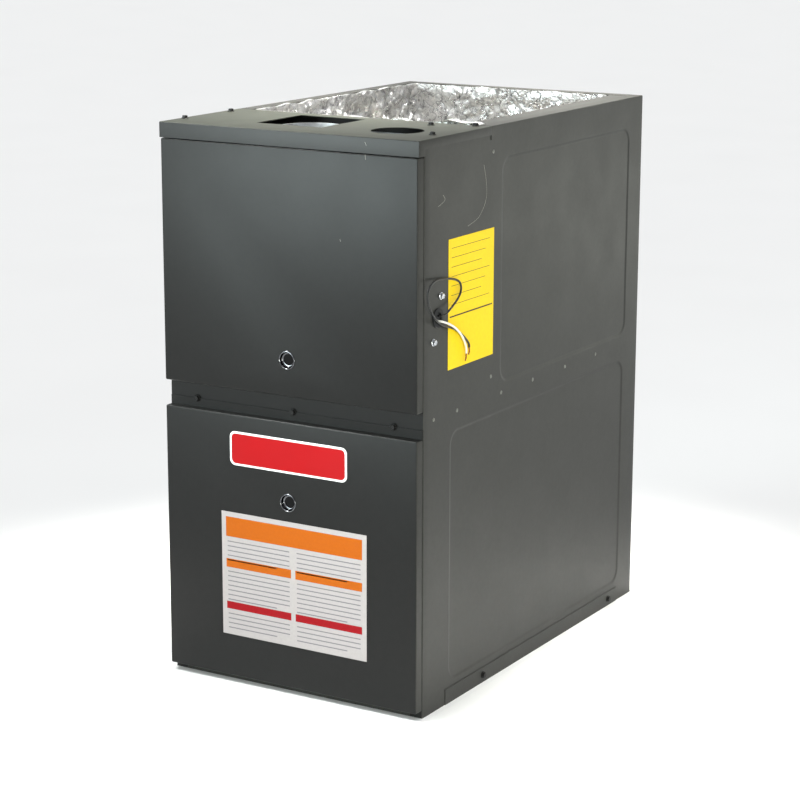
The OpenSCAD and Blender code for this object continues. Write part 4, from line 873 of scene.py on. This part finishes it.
class BuildTop(bpy.types.Operator):
    """Makes the top plate with its turned-down flanges, vent cut-out and air hole."""

    bl_idname = "furnace.top"
    bl_label = "Top plate"

    # What is cut off the flanges: the sides' behind the cabinet's front edge, then the rear one
    trims = (((-0.3, FRAME_Y - 0.3 * MM, 0.8), (0.3, TOP_HIGH.y - 1.5 * MM, 0.835)),
             ((-0.3, TOP_HIGH.y - 5 * MM, 0.8), (0.3, TOP_HIGH.y + 5 * MM, 0.828)))
    vent_cut = (-0.0915, -0.29735, 0.8), (0.0215, -0.17935, 0.9)
    air_x, air_y, air_radius = 0.134, -0.27235, 38.5 * MM

    def execute(self, context):
        settings = context.scene.furnace_panels
        top = pan("top_skin", TOP_LOW, TOP_HIGH, (0, 0, -1), settings.bend_radius,
                  [enamel("top_enamel", settings.top, Specular_IOR_Level=0.26),
                   enamel("flange_enamel", settings.doors, (0.39, 0.42), Specular_IOR_Level=0.29),
                   bpy.data.materials["cabinet_enamel"]])
        # the top plate is one painted sheet; each way its faces turn takes its own enamel, painted light
        # and shade: the front flange the doors' darker colour with more gloss, the sides the cabinet's
        # enamel
        for face in top.data.polygons:
            face.material_index = 1 if face.normal.y < -0.7 else 2 if abs(face.normal.x) > 0.7 else 0
        for trim in self.trims:
            cuts = bmesh.new()
            add_box(cuts, *trim)
            cut_away(top, cuts)
        cuts = bmesh.new()
        add_box(cuts, *self.vent_cut)
        add_rod(cuts, (self.air_x, self.air_y, 0.83), (self.air_x, self.air_y, 0.87),
                self.air_radius, 96)
        cut_away(top, cuts)
        linked(top, "cabinet", ["top_plate"])
        return {"FINISHED"}


DOOR_SCREWS_X = (-0.172, 0, 0.172)


class BuildDoors(bpy.types.Operator):
    """Makes the two doors as bent pans, with the lower door's screw lip and its striker."""

    bl_idname = "furnace.doors"
    bl_label = "Doors"

    lip_height = 13 * MM
    screw_hole = 2.7 * MM
    glass_hole = 12 * MM
    # Opposite corners of the striker that meets the door switch's plunger: X and Z, then its back
    striker = ((0.143, 0.405), (0.157, 0.415), -0.3503)
    # The bezel of a sight glass: radius and depth behind the door's face
    bezel = ((14, 0), (14, -0.5), (13.7, -1.1), (13.1, -1.5), (12.6, -1.5), (12.1, -1.1), (11.8, -0.3),
             (10.9, 3.2), (10.5, 3.8), (9.4, 4.3), (8.6, 4.4), (8.5, 4.6), (8.5, 5.2), (10.2, 5.2),
             (10.2, 9), (11.9, 9), (11.9, 0))

    def execute(self, context):
        settings = context.scene.furnace_panels
        paint = door_enamel(settings)
        gloss = finish("black_nickel")
        for body in ("upper_door", "lower_door"):
            low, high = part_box(f"{body}_panel")
            lip_top = high.z
            if body == "lower_door":
                high.z -= self.lip_height
            door = pan(f"{body}_skin", low, high, (0, 1, 0), settings.door_radius,
                       [paint, bpy.data.materials["cabinet_enamel"]])
            # the side faces take the cabinet's lighter enamel: painted light, so that they look lit as
            # the cabinet's side is
            for face in door.data.polygons:
                face.material_index = 1 if abs(face.normal.x) > 0.7 else 0
            node = body.replace("door", "sight_ring")
            centre = sum(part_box(node), Vector()) / 2
            centre.y = low.y
            cuts = bmesh.new()
            reach = Vector((0, 0.01, 0))
            add_rod(cuts, centre - reach, centre + reach, self.glass_hole)
            cut_away(door, cuts)
            if body == "lower_door":
                bm = bmesh.new()
                add_box(bm, (low.x, high.y - SHEET, high.z - 3 * MM), (high.x, high.y, lip_top))
                lip = mesh_piece("lip", bm, [paint])
                cuts = bmesh.new()
                for x in DOOR_SCREWS_X:
                    add_rod(cuts, (x, high.y - 5 * MM, lip_top), (x, high.y + 5 * MM, lip_top),
                            self.screw_hole)
                cut_away(lip, cuts)
                bm = bmesh.new()
                bm.from_mesh(lip.data)
                bpy.data.meshes.remove(lip.data)
                (x0, z0), (x1, z1), striker_back = self.striker
                add_box(bm, (x0, low.y + SHEET / 2, z0), (x1, striker_back, z1))
                take_in(door, bm)
            linked(door, body, [f"{body}_panel"])
            bm = bmesh.new()
            turn_profile(bm, self.bezel, centre)
            linked(mesh_piece(f"{body}_bezel", bm, [gloss]), body, [node])
        return {"FINISHED"}


# ---- foil ----
def crease_height(u, v, settings):
    """The height of the foil's folds and creases at a place on the sheet: noise folded at its
    zero lines gives long sharp ridges and valleys with smooth faces between them."""
    p = Vector((u, v, 0))
    bent = p + Vector((noise.noise(p * 18), noise.noise(p * 18 + Vector((9, 4, 2))), 0)) * 0.02
    height = 0.0
    for n, (size, depth) in enumerate(((95, 0.6 * settings.folds), (44, -0.4 * settings.folds),
                                       (21, 0.65 * settings.creases), (10, -0.35 * settings.creases))):
        fold = 1 - 2.4 * abs(noise.noise(bent * per_mm(size) + Vector((7 * n, 3, n))))
        height += depth * (fold if depth > 0 else fold - 1)
    return height


class BuildFoil(bpy.types.Operator):
    """Lays the crinkled foil faces of the insulation round the supply opening."""

    bl_idname = "furnace.foil"
    bl_label = "Foil liners"

    thickness = 12 * MM
    # The right liner stays down from here on, under the duct strip, and changes over this width
    strip_x, strip_fade = 0.163, 0.008
    # The left liner is crumpled more from here on
    left_x, left_fade = -0.185, 0.02
    # How far under its top a liner starts to turn in, and where its facing and back then lie
    turn_height, turned_face, turned_back = 26 * MM, 8.2 * MM, 6.5 * MM
    # The front blanket bulges at these places: X, half width and share of the bulge
    humps = ((0.157, 0.026, 1), (0.194, 0.013, 0.7))
    front_reach = 30 * MM
    deepest_crease = -3 * MM
    field_room, least_thickness = 1.2 * MM, 0.8 * MM

    def sheet(self, name, line, heights, material, node, shape):
        """A foil faced blanket along a line in plan. shape gives, for a point of the line, its
        normal, a height and the distance along the line, a point of the facing and of the back."""
        front, back = [], []
        walked = 0.0
        last = line[0][0]
        for point, out in line:
            walked += (point - last).length
            last = point
            near, far = [], []
            for z in heights:
                near_point, far_point = shape(point, out, z, walked)
                near.append(near_point)
                far.append(far_point)
            front.append(near)
            back.append(far)
        bm = bmesh.new()
        closed_grid(bm, front, back)
        piece = mesh_piece(name, bm, [material], angle=50)
        linked(piece, "cabinet", [node])

    def execute(self, context):
        settings = context.scene.furnace_foil
        material = crinkled_foil(settings.colour)
        low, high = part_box("foil_blanket")
        wall = high.x - self.thickness
        rear = high.y - self.thickness
        grid, flap = settings.grid, settings.flap
        corners = [(-wall, low.y), (-wall, rear), (wall, rear), (wall, low.y)]
        stops = {0: steps(0, rear - low.y, [], grid, grid), 1: steps(0, 2 * wall, [], grid, grid),
                 2: steps(0, rear - low.y, [], grid, 4 * grid)}
        # the line turns round the opening, so its normals are turned to face into it
        line = [(p, -n) for p, n in fillet_line(corners, 20 * MM, stops, arc=8)]
        heights = steps(low.z, high.z + flap, [(high.z - 0.2, high.z + flap)], grid, 10 * MM)
        bottom, top, turn_in = low.z, high.z, self.turn_height

        def wall_shape(point, out, z, walked):
            """The facing turns in under the rim's lip and stands up in front of it. It stays
            down on the right, under the duct strip."""
            room = 1 - ease((point.x - self.strip_x) / self.strip_fade)
            if z > top:
                ragged = 1 + 0.3 * noise.noise(Vector((walked * 30, 2, 5)))
                z = top + (z - top) * room * ragged
            rough = 1 + 0.8 * ease((self.left_x - point.x) / self.left_fade)
            lift = rough * crease_height(walked, z, settings) * min(1.0, (z - bottom) / 0.01)
            turned = ease((z - top + turn_in) / turn_in) * room
            near = (max(lift, self.deepest_crease) * (1 - 0.6 * turned)
                    + self.turned_face * turned)
            # the back stays clear of the fields that are pressed in behind it
            far = self.turned_back * turned - (self.thickness - self.field_room) * (1 - turned)
            near = max(near, far + self.least_thickness)
            return [Vector((point.x + out.x * d, point.y + out.y * d, z)) for d in (near, far)]

        self.sheet("foil_walls", line, heights, material, "foil_blanket", wall_shape)

        low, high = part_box("foil_blanket_front")
        line = [(Vector((x, high.y)), Vector((0, 1))) for x in steps(low.x, high.x, [], grid, grid)]
        heights = steps(low.z, high.z, [], grid, grid)
        reach = self.front_reach

        def front_shape(point, _, z, walked):
            """Bunches the top of the front blanket and bulges it over the plate's edge."""
            share = min(1.0, max(0.0, (z - (high.z - reach)) / reach))
            hump = sum(part * math.exp(-((point.x - x) / half) ** 2) for x, half, part in self.humps)
            small = max(0.0, noise.noise(Vector((point.x * 24, 4, 1)))) * ease((point.x + 0.1) / 0.1)
            rise = (hump * settings.bulge + small * 5 * MM) * share ** 2
            edge = min(1.0, (z - low.z) / 0.01, (high.z - z) / 0.012 + 0.35)
            # the noise is read 3 m further on, so that these creases aren't the walls'
            near = max(crease_height(walked + 3, z, settings), self.deepest_crease) * edge
            lean = hump * share ** 3
            return (Vector((point.x, point.y + near - lean * 2 * MM, z + rise)),
                    Vector((point.x, point.y - self.thickness - lean * 6.5 * MM, z + rise)))

        self.sheet("foil_front", line, heights, material, "foil_blanket_front", front_shape)
        return {"FINISHED"}


# ---- fasteners ----
def add_turned(bm, place, outward, profile, sides):
    """Adds a capped solid that stands out from a place. profile holds the radius and the height
    of each of its rings, in millimetres."""
    turn = Vector(outward).to_track_quat("Z", "Y").to_matrix().to_4x4()
    local = Matrix.Translation(place) @ turn
    join_rings(bm, [[local @ Vector((x, y, height * MM)) for x, y in circle(radius * MM, sides)]
                    for radius, height in profile])


def add_hex_screw(bm, place, outward):
    """Adds the head of a hex washer screw: its washer and its chamfered hexagon."""
    add_turned(bm, place, outward, ((5.5, 0.0), (5.5, 0.55), (5.1, 0.95)), 24)
    add_turned(bm, place, outward,
               ((4.4, 0.9), (4.4, 3.5), (3.9, 4.3), (2.9, 4.3), (2.6, 3.9)), 6)


def add_rivet(bm, place, outward):
    """Adds the low dome of a set rivet."""
    add_turned(bm, place, outward, ((3.0, 0.0), (2.9, 0.35), (2.3, 0.68), (1.2, 0.8)), 20)


class BuildFasteners(bpy.types.Operator):
    """Drives the hex washer screws and sets the rivets."""

    bl_idname = "furnace.fasteners"
    bl_label = "Screws and rivets"

    # X and Y, in millimetres
    top_screws = ((-213.25, -307.35), (-208.25, -195.5), (201.25, -289.35), (141, -189.5),
                  (201.25, -164.5))
    # Y and Z of those on both sides, then of those on the right side
    base_screws = ((-163.35, 12), (270.35, 12))
    rivets = (*((y, 444.5) for y in (-316.35, -248.35, -114, -12.5, 96.5, 204.5)),
              (-147, 475.5), (-147, 810.5))
    silver_screws = ((-297, 621.5), (-318, 557.5))

    def execute(self, context):
        black, bright = finish("black_phosphate"), finish("zinc_plate")
        bm = bmesh.new()
        for x, y in self.top_screws:
            add_hex_screw(bm, (x * MM, y * MM, CAB_TOP), (0, 0, 1))
        for side in (-1, 1):
            for y, z in self.base_screws:
                add_hex_screw(bm, (side * (WALL_X + SHEET), y * MM, z * MM), (side, 0, 0))
        screws = mesh_piece("cabinet_screw_heads", bm, [black], 25)
        linked(screws, "cabinet", ["cabinet_screws"])
        bm = bmesh.new()
        for side in (-1, 1):
            for y, z in self.rivets:
                add_rivet(bm, (side * WALL_X, y * MM, z * MM), (side, 0, 0))
        # the rivets' lighter grey is a painted highlight on their domes
        rivets = mesh_piece("cabinet_rivets", bm, [finish("rivet_painted_glint")], 50)
        linked(rivets, "cabinet", ["cabinet_screws"])
        bm = bmesh.new()
        for y, z in self.silver_screws:
            add_hex_screw(bm, (WALL_X, y * MM, z * MM), (1, 0, 0))
        linked(mesh_piece("junction_box_screws", bm, [bright], 25), "cabinet",
               ["silver_screws"])
        bm = bmesh.new()
        _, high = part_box("lower_door_panel")
        for x in DOOR_SCREWS_X:
            add_hex_screw(bm, (x, high.y - SHEET, high.z), (0, -1, 0))
        linked(mesh_piece("door_lip_screws", bm, [black], 25), "lower_door",
               ["lower_door_screws"])
        return {"FINISHED"}


# ---- labels without words ----
INK = 0.05 * MM  # how far ink lies off its sheet


def add_ink(bm, low, high, across, up, ink, on_side=False):
    """Adds a patch of ink to a sheet that faces -Y or, on the right side, +X. across and up hold
    where it starts and ends, as shares of the sheet's width and height."""
    corners = []
    for a, b in ((0, 0), (1, 0), (1, 1), (0, 1)):
        z = low.z + up[b] * (high.z - low.z)
        if on_side:
            corners.append((high.x + INK, low.y + across[a] * (high.y - low.y), z))
        else:
            corners.append((low.x + across[a] * (high.x - low.x), low.y - INK, z))
    bm.faces.new([bm.verts.new(p) for p in corners]).material_index = ink


class BuildLabels(bpy.types.Operator):
    """Makes the bare badge, the notice sheet with plain bands and the ruled side card."""

    bl_idname = "furnace.labels"
    bl_label = "Badge, notice and card"

    def execute(self, context):
        settings = context.scene.furnace_labels
        # Enamelled aluminium badge: even red with a white edge
        red, tree, shader, place = new_material("badge_red", settings.badge, 0.3,
                                                Specular_IOR_Level=0.25)
        vary(tree, shader, place, "Roughness", 0.29, 0.34, 50, 1)
        vary(tree, shader, place, "Base Color", shaded(settings.badge, 0.97),
             shaded(settings.badge, 1.02), 60, 1)
        white = printed_sheet("badge_white", rgb("#f1efee"), 0.3)
        low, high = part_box("badge_plate")
        centre = ((low.x + high.x) / 2, (low.z + high.z) / 2)
        width, height = high.x - low.x, high.z - low.z
        bm = bmesh.new()
        corner, inset = 9 * MM, settings.border
        round_plate(bm, centre, (width, height), corner, low.y, high.y, 0, 0.3 * MM)
        round_plate(bm, centre, (width - 2 * inset, height - 2 * inset), corner - inset * 0.6,
                    low.y - 0.12 * MM, low.y + 0.2 * MM, 1, 0.08 * MM)
        linked(mesh_piece("bare_badge", bm, [white, red], 30), "lower_door", ["badge_plate"])

        low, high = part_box("notice_sheet")
        inks = [printed_sheet("coated_paper", settings.paper),
                printed_sheet("orange_ink", settings.orange), printed_sheet("red_ink", settings.red),
                printed_sheet("grey_ink", rgb("#77757a"))]
        orange_ink, red_ink, grey_ink = 1, 2, 3
        bm = bmesh.new()
        add_box(bm, low, high)
        add_ink(bm, low, high, (0.03, 0.97), (0.80, 0.96), orange_ink)
        for up, ink in (((0.55, 0.62), orange_ink), ((0.21, 0.27), red_ink)):
            for across in ((0.03, 0.485), (0.515, 0.97)):
                add_ink(bm, low, high, across, up, ink)
        pitch, thick, shorter = 0.038, 0.009, 0.09
        for left, right in ((0.04, 0.475), (0.525, 0.96)):
            for top, rows in ((0.765, 5), (0.52, 7), (0.175, 4)):
                for k in range(rows):
                    z = top - k * pitch
                    end = right - (shorter if k == rows - 1 else 0)
                    add_ink(bm, low, high, (left, end), (z - thick, z), grey_ink)
        linked(mesh_piece("banded_notice", bm, inks, 30), "lower_door",
               ["notice_sheet"])

        low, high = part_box("yellow_card")
        inks = [printed_sheet("yellow_card_stock", settings.card, 0.45),
                printed_sheet("black_ink", rgb("#22211c"))]
        bm = bmesh.new()
        add_box(bm, low, high)
        # one rule across the middle and a block of thin ones above it
        rules = [((0.03, 0.97), (0.4, 0.411))]
        for k in range(7):
            z = 0.93 - k * 0.072
            rules.append(((0.06, 0.9 - 0.09 * (k % 3)), (z - 0.0035, z)))
        for across, up in rules:
            add_ink(bm, low, high, across, up, 1, on_side=True)
        linked(mesh_piece("ruled_card", bm, inks, 30), "cabinet", ["yellow_card"])
        return {"FINISHED"}


# ---- wear ----
class BuildScratches(bpy.types.Operator):
    """Draws the light scratches in the enamel of the right side and the front."""

    bl_idname = "furnace.scratches"
    bl_label = "Scratches"

    side_marks = (((-175, 794), (-168, 771), (-166, 749), (-174, 733), (-191, 719), (-221, 711)),
                  ((-293, 765), (-288, 757), (-307, 750)))
    flange_marks = (((133.5, 841), (136, 836)),)
    door_marks = (((134, 823.5), (134.6, 816)), ((92, 700), (93, 697)))

    def execute(self, context):
        pale = printed_sheet("scuffed_primer", rgb("#9c9a92"), 0.6)
        side_x, front_y, width = 221.2, -360.3, 0.3 * MM
        lines = [smooth_route([(side_x, y, z) for y, z in mark], 5) for mark in self.side_marks]
        lines += [smooth_route([(x, front_y, z) for x, z in mark], 3) for mark in self.flange_marks]
        linked(round_line("cabinet_scratches", lines, width, pale, 2), "cabinet")
        lines = [smooth_route([(x, front_y, z) for x, z in mark], 3) for mark in self.door_marks]
        linked(round_line("door_scratches", lines, width, pale, 2), "upper_door")
        return {"FINISHED"}


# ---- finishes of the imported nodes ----
class FinishFrame(bpy.types.Operator):
    """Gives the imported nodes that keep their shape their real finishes."""

    bl_idname = "furnace.finishes"
    bl_label = "Inner parts' finishes"

    def execute(self, context):
        paint = bpy.data.materials["cabinet_enamel"]
        finishes = {
            paint: ["base_pan"],
            # the rail is in the cabinet's paint; the doors' darker enamel on it is painted shade of the
            # recess between the doors
            bpy.data.materials["door_enamel"]: ["front_rail"],
            galvanised("bright_galvanised", "#dcdee0"): ["flue_collar"],
            galvanised(): ["blower_deck", "vestibule_panel", "collector_box", "burner_bracket",
                           "junction_box", "blower_housing", "blower_rails",
                           "control_board_tray", "inducer_housing"],
            finish("aluminised_steel"): ["heat_exchanger_tubes", "tube_baffle", "burners"],
            finish("black_iron_pipe"): ["gas_manifold"],
            finish("turned_brass"): ["burner_orifices"],
            finish("cast_aluminium"): ["gas_valve"],
            moulded("black_nylon", "#1d1e20", 0.45): [
                "gas_valve_cap", "gas_valve_knob", "rollout_switch", "limit_switch",
                "pressure_switch", "cooling_fan"],
            moulded("black_rubber", "#191a1b", 0.62, 2.0, 0.06): [
                "gas_pipe_grommet", "wire_grommet", "pressure_hose"],
            finish("steatite_ceramic"): ["hot_surface_igniter", "flame_sensor"],
            moulded("red_nylon", "#b3261e", 0.4): ["rollout_button", "door_switch_plunger"],
            finish("motor_enamel"): ["inducer_motor", "blower_motor", "transformer"],
            rolled_steel("galvanised_wheel_steel", "#8e9092", 0.32, 0.5): [
                "blower_wheel", "inducer_wheel", "motor_mount"],
            rolled_steel("ground_shaft_steel", "#b9babb", 0.16, 0.28): ["blower_shaft"],
            solder_mask(): ["control_board"],
            moulded("white_nylon", "#e4e1d8", 0.42): ["door_switch"],
            moulded("pvc_bundle", "#3a3d41", 0.5, 3.0, 0.3): ["internal_wiring"],
            finish("borosilicate_glass"): ["upper_sight_lens", "lower_sight_lens"],
        }
        for material, nodes in finishes.items():
            for name in nodes:
                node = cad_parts[name]
                if node.material_slots:
                    for place in node.material_slots:
                        place.material = material
                else:
                    node.data.materials.append(material)
        return {"FINISHED"}


# ---- the add-on ----
SETTINGS = {
    "furnace_panels": PanelSettings, "furnace_foil": FoilSettings, "furnace_wires": WireSettings,
    "furnace_labels": LabelSettings, "furnace_stage": StageSettings,
}
BUILDERS = (BuildStage, BuildWires, BuildCabinet, BuildTop, BuildDoors, BuildFoil, BuildFasteners,
            BuildLabels, BuildScratches, FinishFrame)


class FurnacePanel(bpy.types.Panel):
    """Lists the furnace's pieces and their settings."""

    bl_idname = "VIEW3D_PT_furnace"
    bl_label = "Furnace"
    bl_space_type = "VIEW_3D"
    bl_region_type = "UI"
    bl_category = "Furnace"

    def draw(self, context):
        for builder in BUILDERS:
            self.layout.operator(builder.bl_idname)
        for name in SETTINGS:
            settings = getattr(context.scene, name)
            box = self.layout.box()
            for setting in settings.bl_rna.properties:
                if setting.identifier not in {"rna_type", "name"}:
                    box.prop(settings, setting.identifier)


CLASSES = (*SETTINGS.values(), *BUILDERS, FurnacePanel)


def register():
    for entry in CLASSES:
        bpy.utils.register_class(entry)
    for name, group in SETTINGS.items():
        setattr(bpy.types.Scene, name, PointerProperty(type=group))


def unregister():
    for name in SETTINGS:
        delattr(bpy.types.Scene, name)
    for entry in reversed(CLASSES):
        bpy.utils.unregister_class(entry)


def main():
    """Builds everything in order."""
    register()
    for builder in BUILDERS:
        group, name = builder.bl_idname.split(".")
        if getattr(getattr(bpy.ops, group), name)() != {"FINISHED"}:
            raise RuntimeError(f"{builder.bl_idname} did not finish")


if __name__ == "__main__":
    main()
